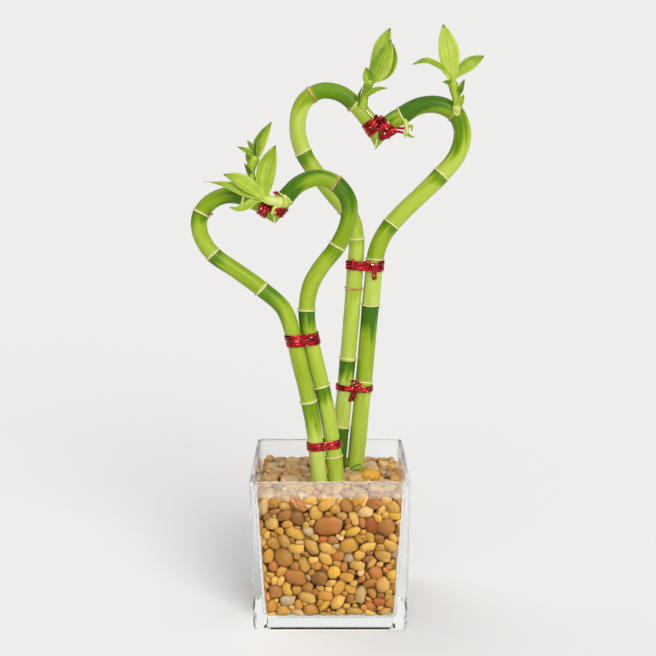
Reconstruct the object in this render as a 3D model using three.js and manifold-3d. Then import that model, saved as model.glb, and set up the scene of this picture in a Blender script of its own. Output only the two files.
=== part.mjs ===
// Lucky bamboo: four canes trained into arches, tied in two pairs with red foil wire, standing in
// the pebbles of a square glass vase. Millimetres, +Z up. The origin is the middle of the vase's
// underside, and the front of the plant faces -Y.

import * as THREE from 'three';
import { mergeVertices } from 'three/addons/utils/BufferGeometryUtils.js';
import Module from 'manifold-3d';

const wasm = await Module();
wasm.setup();

// Clearance between pieces that touch on the real plant
const GAP = 0.3;

// Glass vase
const VASE_HEIGHT = 97.5;
const VASE_HALF_BOTTOM = 48.5;
const VASE_HALF_TOP = 50;
const VASE_CORNER = 6;
const VASE_EDGE = 1.6;
const FLOOR_TOP = 9.4;
const CAVITY_HALF_BOTTOM = 42.4;
const CAVITY_HALF_TOP = 46;
const CAVITY_CORNER = 6.5;
const CAVITY_FILLET = 8;
const CORNER_STEPS = 3;
const FILLET_STEPS = 3;

// Pebbles: rows along the walls and a layer on top and on the floor, standing out of a core
const PEBBLE_SURFACE = 83;
const PEBBLE_SEED = 7;
const WALL_ROWS = 6;
const WALL_LENGTH = [13, 19.7];
const WALL_ROW_FILL = [0.86, 1];
const WALL_DEPTH = 10.8;
const WALL_SHIFT = 0.8;
const TOP_GRID = 6;
const FLOOR_GRID = 4;
const LAYER_DEPTH = 9.5;
const LAYER_FILL = [0.85, 1.15];
const LAYER_SHIFT = 1.5;
const LAYER_MARGIN = 3;
const CORE_HALF = [37.2, 39.2];
const CORE_SINK = 5.5;
const CORE_CORNER = 4;

// Canes: the radius, the middle line from the cut foot to past the slanted end, and how far up
// each cane its node rings lie
const CANE_SIDES = 8;
const CANE_FOOT = FLOOR_TOP + 4.6;
const RING_RISE = 0.45;
const RING_HALF_WIDTH = 1.3;
const STRAIGHT_STEP = 24;
const BEND_STEP = 0.2;
const CANES = {
  cane_front_left: {
    radius: 4.95,
    route: [
      [2, -15.5, CANE_FOOT], [-6, -18.5, 84], [-11, -21, 129], [-19.2, -22.5, 168], [-23.2, -23.2, 186],
      [-29, -23.6, 201.5], [-42, -23.8, 213.5], [-57.5, -24, 225], [-72, -24.2, 235.5], [-79, -24.3, 247],
      [-79.5, -24.4, 257.5], [-74, -24.5, 266], [-64.5, -24.6, 271], [-53.5, -24.6, 270.7],
      [-47.5, -24.5, 268.3], [-41, -24.4, 264.8], [-34.5, -24.3, 260.5], [-26, -24.2, 255],
    ],
    rings: [129, 209, 245.5, 273.5, 303],
  },
  cane_front_right: {
    radius: 5.1,
    route: [
      [14, -13.5, CANE_FOOT], [5, -16, 84], [-0.8, -16.5, 129], [-9.3, -18, 168], [-13.3, -19, 186],
      [-14.5, -20, 200], [-12, -21, 215], [-5.5, -22, 227], [4.5, -23, 240], [10.5, -23.7, 253],
      [11.5, -24.2, 267], [4, -24.6, 278], [-7, -24.8, 282], [-18, -24.8, 278.5], [-24.5, -24.6, 272.8],
      [-28.5, -24.5, 267.8], [-34.2, -24.4, 261], [-40.5, -24.3, 253.5],
    ],
    rings: [91, 138, 188.5, 234, 276.5, 312],
  },
  cane_back_left: {
    radius: 5.25,
    route: [
      [-1, 20, CANE_FOOT], [5, 21.5, 84], [10, 22.5, 139], [13.2, 23.4, 175], [16.5, 24.5, 220],
      [17.2, 25, 238], [14, 25.3, 252.5], [3.5, 25.6, 266], [-8, 26, 280.5], [-17, 26.2, 294.5],
      [-20.8, 26.5, 310], [-17, 26.8, 326], [-6, 27, 333.5], [6.5, 27, 332], [16, 26.8, 325],
      [23.3, 26.6, 317], [27.5, 26.4, 311.5], [31, 26.3, 305.5], [36, 26.3, 296],
    ],
    rings: [100, 146.5, 193.5, 226, 248, 292.5, 332.5, 363],
  },
  cane_back_right: {
    radius: 5.6,
    route: [
      [10, 21, CANE_FOOT], [16.9, 22.5, 84], [23.2, 24, 152], [27.7, 24.8, 206], [30.5, 25, 230.5],
      [36, 25.2, 243], [46, 25.4, 255], [59, 25.7, 267.5], [72, 25.9, 280.5], [82, 26.2, 293],
      [85.2, 26.5, 307], [81, 26.7, 318.5], [70, 26.8, 324.7], [57, 26.8, 324], [46, 26.7, 318],
      [40.5, 26.6, 314.8], [35.5, 26.5, 311], [30.5, 26.3, 306], [24, 26.3, 299],
    ],
    rings: [69.5, 130.5, 182.5, 212.5, 238, 283.5, 327.5, 365],
  },
};

// The slanted cut where a pair of canes meets, from the point below to the fork above
const SEAM_GAP = 0.15;
const SEAM_REACH = 42;
const SEAMS = [
  { left: 'cane_front_left', right: 'cane_front_right', point: [-33.3, 254.1], fork: [-35.2, 267.5] },
  { left: 'cane_back_left', right: 'cane_back_right', point: [29.1, 296.9], fork: [32.5, 315.3] },
];

// Foil wire ties: which canes each turn goes round and how far up them, the height of the
// winding, its turns, and the loose ends of the wire
const TIE_SIDES = 6;
const TIE_SEAT = GAP + 0.35;
const TIE_VALLEY = 1.2;
const TIE_CREST = 1.9;
const WIRE_RADIUS = 0.9;
const WIRE_SIDES = 6;
const TIES = {
  tie_front_lower: {
    windings: [{ round: [['cane_front_left', 98], ['cane_front_right', 98]], height: 4.8, turns: 2 }],
    ends: [],
  },
  tie_front_upper: {
    windings: [{ round: [['cane_front_left', 168], ['cane_front_right', 168.5]], height: 7.6, turns: 3 }],
    ends: [],
  },
  tie_front_joint: {
    windings: [
      { round: [['cane_front_left', 317.5]], height: 8, turns: 3 },
      { round: [['cane_front_right', 320]], height: 6, turns: 3 },
    ],
    ends: [[[-30.5, -24, 272], [-32.5, -25, 273], [-34.5, -26, 273]]],
  },
  tie_back_lower: {
    windings: [{ round: [['cane_back_left', 127.5], ['cane_back_right', 125]], height: 5.2, turns: 3 }],
    ends: [[[16.5, 15.5, 141.5], [14.5, 14.5, 138], [12, 14.5, 132]]],
  },
  tie_back_upper: {
    windings: [{ round: [['cane_back_left', 208.8], ['cane_back_right', 207.5]], height: 6.6, turns: 3 }],
    ends: [[[29.5, 16.3, 222], [29.6, 15.8, 217], [29.6, 15.8, 212.5]]],
  },
  tie_back_joint: {
    windings: [
      { round: [['cane_back_left', 380.5]], height: 7.4, turns: 3 },
      { round: [['cane_back_right', 375.5]], height: 7, turns: 3 },
    ],
    ends: [
      [[34, 17.5, 311], [40, 17.2, 309.8], [47.2, 17.4, 308.4]],
      [[36, 17, 314], [34, 16.5, 306], [37, 17.5, 303.5], [41, 18, 307]],
    ],
  },
};

// Shoots: the stem's middle line and its radius at each point, then the blades, each from its
// root to its tip with its width, how far along it is widest, and the way its face looks
const STEM_SIDES = 7;
const BLADE_THICKNESS = 0.8;
const BLADE_FOLD = 0.16;
const ROOT_SHARE = 0.45;
const TIP_WIDTH = 0.7;
const SHOOTS = {
  shoot_front: {
    stems: [
      {
        route: [[-25.5, -27, 268], [-28.5, -31, 267.5], [-32, -33.6, 268.2], [-36.5, -34.8, 269.4], [-41, -35, 270.8]],
        radii: [2.9, 3.5, 3.4, 3.1, 2.3],
      },
      {
        route: [[-40.5, -35, 270.5], [-44, -35, 276.5], [-46.8, -34.6, 283], [-47, -34.2, 289], [-44.5, -34, 295.5]],
        radii: [2.2, 1.9, 1.7, 2.4, 2],
      },
      { route: [[-30.5, -33.5, 266], [-33.5, -35, 264.6], [-35, -34.6, 260.8]], radii: [1, 0.9, 0.7] },
    ],
    blades: [
      { route: [[-38.7, -35, 270.5], [-38.2, -36.5, 280], [-35.6, -38, 291], [-32.4, -38.5, 302]], width: 12.6 },
      { route: [[-39.5, -35.5, 271], [-47.8, -38.5, 277.5], [-55, -41, 281.8], [-63, -43, 285.2]], width: 8.4 },
      { route: [[-39, -35.5, 270], [-50.8, -39, 273.4], [-62.5, -41.5, 277.8], [-74.8, -43, 281.2]], width: 4.6 },
      {
        route: [[-37.5, -35, 269], [-45, -39.5, 270.2], [-52, -42.5, 268.2], [-59.7, -44.5, 265.4]],
        width: 5.4, face: [0.1, -0.6, 0.8],
      },
      { route: [[-46.5, -34.5, 282], [-48.8, -37.4, 287.6], [-50.9, -38.8, 291.4]], width: 3.6 },
      { route: [[-46.3, -34.2, 290], [-48.7, -36.6, 294.6], [-49.4, -38, 298.6]], width: 3.6 },
      { route: [[-44.5, -34, 293.5], [-42.6, -34.8, 300.5], [-39, -35.4, 308], [-34.8, -34.5, 315.6]], width: 7.6 },
      { route: [[-44.6, -34, 294], [-48.8, -36.8, 298.4], [-54.8, -39, 301.2]], width: 3.6 },
      { route: [[-44.6, -34, 294], [-46.6, -32.4, 300.2], [-49.4, -30.4, 304.6]], width: 3.8 },
    ],
  },
  shoot_back_left: {
    stems: [
      {
        route: [[18.5, 22.5, 319], [20.6, 20.8, 322.5], [21.8, 20, 326.5], [23.2, 20, 331.5], [25, 20.3, 336]],
        radii: [2.6, 3.1, 2.7, 2.5, 1.9],
      },
    ],
    blades: [
      { route: [[19.8, 20.6, 323.5], [17.9, 17.6, 330.5], [19.9, 16.4, 336.6]], width: 4 },
      { route: [[22.8, 20, 330], [27.6, 16.5, 334.8], [31.4, 13.6, 336], [35.4, 11.2, 335]], width: 2.8 },
      { route: [[23.6, 20, 332.5], [23.2, 17.2, 340.4], [22.4, 15.8, 348.2]], width: 7.2, widest: 0.55 },
      {
        route: [[24.4, 20, 332.5], [28.8, 17.4, 341], [32.2, 14.6, 351], [37.4, 12.4, 366]],
        width: 15.4, widest: 0.5,
      },
      { route: [[24.8, 20.6, 333], [29.8, 24.6, 344], [34.4, 27.6, 359], [38.3, 29.2, 373]], width: 9 },
      { route: [[25, 21, 333], [34, 22.8, 345], [38.8, 24.6, 355], [39.8, 26, 363]], width: 6 },
    ],
  },
  shoot_back_right: {
    stems: [
      {
        route: [[80.8, 21.5, 317], [80.2, 19.6, 321], [78.6, 19.4, 328], [77.2, 20, 335], [76, 20, 341]],
        radii: [2.3, 2.4, 2.3, 2.9, 3],
      },
    ],
    blades: [
      {
        route: [[76.2, 20, 337], [75.9, 19, 347], [75, 18.4, 358], [71.1, 20, 374.2]],
        width: 12.6, widest: 0.5,
      },
      {
        route: [[76, 19.6, 338.4], [70, 16.6, 348], [63.5, 13.6, 353.4], [57.6, 11.2, 352.8], [51.3, 9.2, 350]],
        width: 4.4, face: [-0.3, -0.75, 0.6],
      },
      { route: [[77, 20, 338.6], [84.4, 23.2, 345.4], [91.6, 26, 351.4], [98.1, 28.4, 355.6]], width: 8.8 },
      { route: [[79, 19.4, 329], [83.4, 17, 335.6], [84.7, 16, 340.4]], width: 3.8 },
      { route: [[79.8, 19.4, 323.4], [83, 17.6, 328.4], [84.9, 16.8, 331.2]], width: 3.6 },
      { route: [[76, 19, 336], [73, 16.6, 338.8], [71.1, 15.4, 339.2]], width: 3 },
    ],
  },
  sprout_back: {
    stems: [
      { route: [[47.6, 23, 316], [48.6, 20, 312], [49, 18.8, 306.6]], radii: [1.5, 1.8, 1.3] },
    ],
    blades: [
      { route: [[49, 18.6, 311.4], [51.8, 17.4, 311.4], [51.9, 17, 308.4]], width: 2 },
      { route: [[48.9, 18.8, 308.5], [50.4, 17.6, 305.6], [53.8, 17, 304.8]], width: 2 },
      { route: [[48.6, 18.8, 308.5], [47.9, 18.2, 306], [47.9, 17.8, 304.2]], width: 1.8 },
    ],
  },
};

const MATERIALS = {
  vase: { color: 0xdfeeea, roughness: 0.05, metalness: 0 },
  pebbles: { color: 0x9a7040, roughness: 0.5, metalness: 0 },
  cane: { color: 0x7fae2a, roughness: 0.35, metalness: 0 },
  shoot: { color: 0xa4cf3d, roughness: 0.45, metalness: 0 },
  tie: { color: 0xb3131b, roughness: 0.25, metalness: 0.7 },
};

// A closed geometry with only its positions, without faces that have no area, facing out
function toSolid(geometry) {
  const bare = geometry.clone();
  bare.deleteAttribute('normal');
  bare.deleteAttribute('uv');
  const merged = mergeVertices(bare, 1e-4);
  const index = merged.index.array;
  const corners = merged.attributes.position;
  const triangles = [];
  let volume = 0;
  for (let face = 0; face < index.length; face += 3) {
    const [a, b, c] = [index[face], index[face + 1], index[face + 2]];
    if (a === b || b === c || c === a) continue;
    triangles.push([a, b, c]);
    const [p, q, r] = [a, b, c].map((corner) => new THREE.Vector3().fromBufferAttribute(corners, corner));
    volume += p.dot(q.cross(r));
  }
  const facing = volume > 0 ? triangles : triangles.map(([a, b, c]) => [a, c, b]);
  const mesh = new wasm.Mesh({
    numProp: 3,
    vertProperties: new Float32Array(corners.array),
    triVerts: new Uint32Array(facing.flat()),
  });
  mesh.merge();
  return new wasm.Manifold(mesh);
}

function toGeometry(solid) {
  const mesh = solid.getMesh();
  const geometry = new THREE.BufferGeometry();
  geometry.setAttribute('position', new THREE.BufferAttribute(new Float32Array(mesh.vertProperties), 3));
  geometry.setIndex(new THREE.BufferAttribute(new Uint32Array(mesh.triVerts), 1));
  geometry.computeVertexNormals();
  return geometry;
}

// Joins solids two by two, so that no step is large
function join(solids) {
  let level = solids;
  while (level.length > 1) {
    const next = [];
    for (let i = 0; i < level.length; i += 2) {
      next.push(i + 1 < level.length ? level[i].add(level[i + 1]) : level[i]);
    }
    level = next;
  }
  return level[0];
}

// The largest body of a solid: scraps that a cut leaves loose are dropped
function mainBody(solid) {
  const bodies = solid.decompose();
  return bodies.reduce((best, body) => (body.volume() > best.volume() ? body : best));
}

// A point of a rounded square's outline, by its number round it
function roundedSquarePoint(number, half, corner) {
  const perCorner = CORNER_STEPS + 1;
  const quarter = Math.floor(number / perCorner) % 4;
  const angle = (quarter + (number % perCorner) / CORNER_STEPS) * (Math.PI / 2);
  const round = Math.min(corner, half);
  const signX = quarter === 0 || quarter === 3 ? 1 : -1;
  const signY = quarter < 2 ? 1 : -1;
  return [
    signX * (half - round) + round * Math.cos(angle),
    signY * (half - round) + round * Math.sin(angle),
  ];
}

// A profile of [half width, height] turned round the axis and pushed out to a rounded square
function squareTurned(profile, corner) {
  const around = 4 * (CORNER_STEPS + 1);
  const geometry = new THREE.LatheGeometry(profile.map(([r, z]) => new THREE.Vector2(r, z)), around);
  const position = geometry.attributes.position;
  for (let i = 0; i <= around; i++) {
    profile.forEach(([half, z], j) => {
      const [x, y] = roundedSquarePoint(i % around, half, corner);
      position.setXYZ(i * profile.length + j, x, y, z);
    });
  }
  return toSolid(geometry);
}

function cavityHalf(z) {
  const share = (z - FLOOR_TOP) / (VASE_HEIGHT - FLOOR_TOP);
  return CAVITY_HALF_BOTTOM + (CAVITY_HALF_TOP - CAVITY_HALF_BOTTOM) * share;
}

// The inside of the glass from the middle of its floor up to a height, moved in by a clearance
function cavityProfile(top, clearance) {
  const centre = FLOOR_TOP + CAVITY_FILLET;
  const profile = [[0, FLOOR_TOP + clearance]];
  for (let step = 0; step <= FILLET_STEPS; step++) {
    const angle = (step / FILLET_STEPS) * (Math.PI / 2);
    const radius = CAVITY_FILLET - clearance;
    profile.push([
      cavityHalf(centre) - CAVITY_FILLET + radius * Math.sin(angle),
      centre - radius * Math.cos(angle),
    ]);
  }
  profile.push([cavityHalf(top) - clearance, top]);
  return profile;
}

function makeVase() {
  const rim = VASE_HEIGHT - VASE_EDGE;
  const outside = [
    [0, 0], [VASE_HALF_BOTTOM - VASE_EDGE, 0], [VASE_HALF_BOTTOM - VASE_EDGE * 0.3, VASE_EDGE * 0.3],
    [VASE_HALF_BOTTOM, VASE_EDGE], [VASE_HALF_TOP, rim], [VASE_HALF_TOP - VASE_EDGE * 0.3, VASE_HEIGHT - VASE_EDGE * 0.3],
    [VASE_HALF_TOP - VASE_EDGE, VASE_HEIGHT], [CAVITY_HALF_TOP + VASE_EDGE * 0.5, VASE_HEIGHT],
  ];
  return squareTurned([...outside, ...cavityProfile(rim, 0).reverse()], VASE_CORNER);
}

// Seeded draws between 0 and 1
function makeDraw(seed) {
  let state = seed;
  return () => {
    state = (state * 1664525 + 1013904223) % 4294967296;
    return state / 4294967296;
  };
}

// One pebble: a twenty-sided stone, tumbled, then stretched to its size and turned on the spot
function pebble(centre, size, tumble, heading) {
  const geometry = new THREE.IcosahedronGeometry(0.5, 0);
  geometry.rotateX(tumble);
  geometry.scale(...size);
  geometry.rotateZ(heading);
  geometry.translate(...centre);
  return toSolid(geometry);
}

// Rows of pebbles round the four walls, each as long as the draw gives until the row is full
function wallPebbles(between) {
  const stones = [];
  const bottom = FLOOR_TOP + GAP;
  const rowHeight = (PEBBLE_SURFACE - LAYER_DEPTH / 2 - bottom) / (WALL_ROWS - 0.25);
  for (let row = 0; row < WALL_ROWS; row++) {
    const z = bottom + rowHeight * (row + 0.5);
    const inset = cavityHalf(z) - GAP - WALL_DEPTH / 2;
    const side = inset * 2;
    const start = between(0, side);
    for (let along = 0, length = 0; along < side * 4 - length / 2; along += length) {
      length = between(...WALL_LENGTH);
      const middle = (start + along + length / 2) % (side * 4);
      const wall = Math.floor(middle / side);
      const offset = middle - wall * side - inset;
      const heading = wall * (Math.PI / 2);
      const x = offset * Math.cos(heading) + inset * Math.sin(heading);
      const y = offset * Math.sin(heading) - inset * Math.cos(heading);
      const size = [length, WALL_DEPTH, rowHeight * between(...WALL_ROW_FILL)];
      stones.push(pebble([x, y, z + between(-WALL_SHIFT, WALL_SHIFT)], size, between(0, Math.PI), heading));
    }
  }
  return stones;
}

// A level layer of pebbles in a loose grid
function layerPebbles(between, count, z) {
  const stones = [];
  const half = cavityHalf(z) - LAYER_MARGIN;
  const pitch = (half * 2) / count;
  const shift = () => between(-LAYER_SHIFT, LAYER_SHIFT);
  for (let i = 0; i < count; i++) {
    for (let j = 0; j < count; j++) {
      const centre = [pitch * (i + 0.5) - half + shift(), pitch * (j + 0.5) - half + shift(), z + shift() / 2];
      const size = [pitch * between(...LAYER_FILL), pitch * between(...LAYER_FILL), LAYER_DEPTH];
      stones.push(pebble(centre, size, between(0, Math.PI), between(0, Math.PI)));
    }
  }
  return stones;
}

// All pebbles fused to a core, trimmed to the inside of the glass, with room for the canes
function makePebbles(caneHoles) {
  const draw = makeDraw(PEBBLE_SEED);
  const between = (low, high) => low + (high - low) * draw();
  const stones = [
    ...wallPebbles(between),
    ...layerPebbles(between, TOP_GRID, PEBBLE_SURFACE - LAYER_DEPTH * 0.4),
    ...layerPebbles(between, FLOOR_GRID, FLOOR_TOP + LAYER_DEPTH * 0.4),
  ];
  const coreBottom = FLOOR_TOP + CORE_SINK * 0.7;
  const coreTop = PEBBLE_SURFACE - CORE_SINK;
  const coreProfile = [[0, coreBottom], [CORE_HALF[0], coreBottom], [CORE_HALF[1], coreTop], [0, coreTop]];
  const core = squareTurned(coreProfile, CORE_CORNER);
  const inside = squareTurned([...cavityProfile(VASE_HEIGHT, GAP), [0, VASE_HEIGHT]], CAVITY_CORNER);
  return mainBody(join([core, ...stones]).intersect(inside).subtract(caneHoles));
}

function curveThrough(route) {
  return new THREE.CatmullRomCurve3(route.map((point) => new THREE.Vector3(...point)));
}

// A round bar along a curve: each station is how far along it is and the radius there
function bar(curve, stations, sides) {
  const geometry = new THREE.CylinderGeometry(1, 1, 1, sides, stations.length - 1);
  const position = geometry.attributes.position;
  const length = curve.getLength();
  for (let i = 0; i < position.count; i++) {
    const station = Math.round((0.5 - position.getY(i)) * (stations.length - 1));
    const [distance, radius] = stations[station];
    const share = Math.max(0, distance / length);
    const tangent = curve.getTangentAt(share);
    const across = new THREE.Vector3().crossVectors(new THREE.Vector3(0, 1, 0), tangent).normalize();
    const forward = new THREE.Vector3().crossVectors(tangent, across);
    const point = curve.getPointAt(share);
    point.addScaledVector(tangent, distance - share * length);
    point.addScaledVector(across, position.getX(i) * radius);
    point.addScaledVector(forward, position.getZ(i) * radius);
    position.setXYZ(i, point.x, point.y, point.z);
  }
  return toSolid(geometry);
}

// Stations along a cane: close on its bends, wide where it is straight, and four at each node ring
function caneStations(curve, radius, rings) {
  const length = curve.getLength();
  const stations = [];
  let last = 0;
  let heading = curve.getTangentAt(0);
  const free = (distance) => rings.every((ring) => Math.abs(distance - ring) > RING_HALF_WIDTH * 2.2);
  stations.push([0, radius]);
  for (let distance = 1; distance < length - 1; distance++) {
    const tangent = curve.getTangentAt(distance / length);
    const turned = tangent.angleTo(heading) > BEND_STEP || distance - last > STRAIGHT_STEP;
    if (turned && free(distance)) {
      stations.push([distance, radius]);
      last = distance;
      heading = tangent;
    }
  }
  rings.forEach((ring) => {
    stations.push([ring - RING_HALF_WIDTH, radius], [ring - RING_HALF_WIDTH * 0.3, radius + RING_RISE]);
    stations.push([ring + RING_HALF_WIDTH * 0.3, radius + RING_RISE], [ring + RING_HALF_WIDTH, radius]);
  });
  stations.push([length, radius]);
  return stations.sort((a, b) => a[0] - b[0]);
}

function caneSolid(name, grow) {
  const { radius, route, rings } = CANES[name];
  const curve = curveThrough(route);
  const stations = caneStations(curve, radius, rings);
  stations[0][0] -= grow;
  return bar(curve, stations.map(([distance, size]) => [distance, size + grow]), CANE_SIDES);
}

// Everything on one side of a pair's slanted cut
function seamSide(seam, side) {
  const [x, z] = seam.point;
  const lean = Math.atan2(x - seam.fork[0], seam.fork[1] - z);
  const block = new THREE.BoxGeometry(SEAM_REACH, SEAM_REACH * 2, SEAM_REACH);
  block.translate(side * (SEAM_REACH / 2 - SEAM_GAP), 0, 0);
  block.rotateY(-lean);
  block.translate(x, 0, z);
  return toSolid(block);
}

// A winding's section, as how far it stands off the cane and how high it is: a crest for each turn
function windingProfile(height, turns) {
  const half = height / 2;
  const profile = [[TIE_SEAT, -half], [TIE_VALLEY, -half]];
  for (let turn = 0; turn < turns; turn++) {
    profile.push([TIE_CREST, -half + (half * (2 * turn + 1)) / turns]);
    profile.push([TIE_VALLEY, -half + (half * (2 * turn + 2)) / turns]);
  }
  return [...profile, [TIE_SEAT, half], profile[0]];
}

// The room that a winding takes, with its clearance, which the shoots keep out of
function roomProfile(height) {
  const half = height / 2 + GAP;
  const reach = TIE_CREST + GAP;
  return [[0, -half], [reach, -half], [reach, half], [0, half], [0, -half]];
}

// A band of the given section on the outline that holds one cane or a pair
function winding(round, profile) {
  const ends = round.map(([name, distance]) => {
    const curve = curveThrough(CANES[name].route);
    const share = distance / curve.getLength();
    return { centre: curve.getPointAt(share), axis: curve.getTangentAt(share), radius: CANES[name].radius };
  });
  const first = ends[0];
  const last = ends[ends.length - 1];
  const axis = first.axis.clone().add(last.axis).normalize();
  const across = ends.length > 1
    ? last.centre.clone().sub(first.centre)
    : new THREE.Vector3().crossVectors(new THREE.Vector3(0, 1, 0), axis);
  across.addScaledVector(axis, -across.dot(axis)).normalize();
  const forward = new THREE.Vector3().crossVectors(axis, across);
  const around = TIE_SIDES * 2;
  const geometry = new THREE.LatheGeometry(profile.map(([r, z]) => new THREE.Vector2(r + 1, z)), around);
  const position = geometry.attributes.position;
  for (let i = 0; i <= around; i++) {
    const step = i % around;
    const onLast = step < TIE_SIDES;
    const angle = ((step % TIE_SIDES) / (TIE_SIDES - 1) - 0.5) * Math.PI + (onLast ? 0 : Math.PI);
    const end = onLast ? last : first;
    profile.forEach(([offset, rise], j) => {
      const point = end.centre.clone();
      point.addScaledVector(across, (end.radius + offset) * Math.cos(angle));
      point.addScaledVector(forward, (end.radius + offset) * Math.sin(angle));
      point.addScaledVector(axis, rise);
      position.setXYZ(i * profile.length + j, point.x, point.y, point.z);
    });
  }
  return toSolid(geometry);
}

function evenStations(curve, radii) {
  const length = curve.getLength();
  return radii.map((radius, i) => [(length * i) / (radii.length - 1), radius]);
}

function wireEnd(route, radius) {
  const curve = curveThrough(route);
  return bar(curve, evenStations(curve, route.map(() => radius)), WIRE_SIDES);
}

function makeTie({ windings, ends }) {
  const turns = windings.map((entry) => winding(entry.round, windingProfile(entry.height, entry.turns)));
  return join([...turns, ...ends.map((route) => wireEnd(route, WIRE_RADIUS))]);
}

function makeTieRoom({ windings, ends }) {
  const bands = windings.map((entry) => winding(entry.round, roomProfile(entry.height)));
  return join([...bands, ...ends.map((route) => wireEnd(route, WIRE_RADIUS + GAP))]);
}

// A leaf blade: one curved sheet, folded a little along its midrib, with a second like it a
// thickness below and a strip round the edge
function blade({ route, width, widest = 0.35, face = [0, -1, 0.25] }) {
  const curve = curveThrough(route);
  const facing = new THREE.Vector3(...face).normalize();
  const steps = Math.round(3 + width / 4);
  const sheet = new THREE.PlaneGeometry(1, 1, 2, steps);
  const columns = 3;
  const count = sheet.attributes.position.count;
  const corners = [];
  for (const below of [0, 1]) {
    for (let i = 0; i < count; i++) {
      const share = Math.floor(i / columns) / steps;
      const side = (i % columns) - 1;
      const tangent = curve.getTangent(share);
      const across = new THREE.Vector3().crossVectors(tangent, facing).normalize();
      const up = new THREE.Vector3().crossVectors(across, tangent);
      const rise = ROOT_SHARE + (1 - ROOT_SHARE) * Math.sin(Math.min(1, share / widest) * (Math.PI / 2));
      const fall = Math.max(0, Math.cos((Math.max(0, share - widest) / (1 - widest)) * (Math.PI / 2)));
      const halfWidth = Math.max(TIP_WIDTH, width * rise * fall ** 0.85) / 2;
      const point = curve.getPoint(share);
      point.addScaledVector(across, side * halfWidth);
      point.addScaledVector(up, Math.abs(side) * halfWidth * BLADE_FOLD * 2 - below * BLADE_THICKNESS);
      corners.push(point.x, point.y, point.z);
    }
  }
  const triangles = [];
  const index = sheet.index.array;
  for (let f = 0; f < index.length; f += 3) {
    triangles.push(index[f], index[f + 1], index[f + 2]);
    triangles.push(index[f] + count, index[f + 2] + count, index[f + 1] + count);
  }
  const edge = [0, 1, 2];
  for (let row = 1; row <= steps; row++) edge.push(row * columns + 2);
  edge.push(steps * columns + 1, steps * columns);
  for (let row = steps - 1; row > 0; row--) edge.push(row * columns);
  edge.forEach((a, i) => {
    const b = edge[(i + 1) % edge.length];
    triangles.push(a, b, a + count, b, b + count, a + count);
  });
  const geometry = new THREE.BufferGeometry();
  geometry.setAttribute('position', new THREE.Float32BufferAttribute(corners, 3));
  geometry.setIndex(triangles);
  return toSolid(geometry);
}

function makeShoot({ stems, blades }) {
  const solids = stems.map(({ route, radii }) => {
    const curve = curveThrough(route);
    return bar(curve, evenStations(curve, radii), STEM_SIDES);
  });
  return join([...solids, ...blades.map(blade)]);
}

const plant = new THREE.Group();

function place(name, solid, finish) {
  const mesh = new THREE.Mesh(toGeometry(solid), new THREE.MeshStandardMaterial(MATERIALS[finish]));
  mesh.name = name;
  plant.add(mesh);
}

const caneNames = Object.keys(CANES);
const caneRoom = join(caneNames.map((name) => caneSolid(name, GAP)));

place('vase', makeVase(), 'vase');
place('pebbles', makePebbles(caneRoom), 'pebbles');

SEAMS.forEach((seam) => {
  place(seam.left, mainBody(caneSolid(seam.left, 0).subtract(seamSide(seam, 1))), 'cane');
  place(seam.right, mainBody(caneSolid(seam.right, 0).subtract(seamSide(seam, -1))), 'cane');
});

const tieRoom = join(Object.values(TIES).map(makeTieRoom));
Object.entries(TIES).forEach(([name, tie]) => {
  place(name, mainBody(makeTie(tie).subtract(caneRoom)), 'tie');
});

Object.entries(SHOOTS).forEach(([name, shoot]) => {
  place(name, mainBody(makeShoot(shoot).subtract(caneRoom).subtract(tieRoom)), 'shoot');
});

export default plant;
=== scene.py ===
import math
import random

import bpy
import numpy as np
from mathutils import Matrix, Vector


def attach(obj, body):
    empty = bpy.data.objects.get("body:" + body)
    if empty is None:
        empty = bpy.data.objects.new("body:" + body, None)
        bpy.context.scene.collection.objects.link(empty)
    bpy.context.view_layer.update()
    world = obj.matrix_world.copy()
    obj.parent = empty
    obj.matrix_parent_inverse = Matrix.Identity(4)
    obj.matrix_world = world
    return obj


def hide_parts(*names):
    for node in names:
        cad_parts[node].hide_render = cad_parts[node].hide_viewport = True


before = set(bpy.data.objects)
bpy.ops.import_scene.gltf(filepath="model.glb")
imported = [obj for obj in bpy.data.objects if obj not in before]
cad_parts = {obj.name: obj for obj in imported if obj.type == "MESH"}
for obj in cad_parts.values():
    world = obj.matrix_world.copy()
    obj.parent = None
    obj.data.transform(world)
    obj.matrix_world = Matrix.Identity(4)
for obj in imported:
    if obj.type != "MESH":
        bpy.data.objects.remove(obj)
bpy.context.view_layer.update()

# Camera
# It stands 0.8 m in front of the vase and a third of a metre up, as in the photograph, and looks
# a little down. The picture's white is kept plain, so the greens stay as bright as they are.
CAMERA_PLACE = (-0.0012, -0.796, 0.335)
CAMERA_TURN = (math.radians(79.3), 0, 0)
CAMERA_LENS = 69.5
bpy.ops.object.select_all(action="DESELECT")
bpy.ops.object.camera_add(location=CAMERA_PLACE, rotation=CAMERA_TURN)
bpy.context.object.data.lens = CAMERA_LENS
bpy.context.scene.camera = bpy.context.object
bpy.context.scene.view_settings.view_transform = "Standard"
# Light crosses the thick glass walls many times before it leaves them
GLASS_CROSSINGS = 32
bpy.context.scene.cycles.max_bounces = GLASS_CROSSINGS
bpy.context.scene.cycles.glossy_bounces = GLASS_CROSSINGS
bpy.context.scene.cycles.transmission_bounces = GLASS_CROSSINGS

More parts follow.
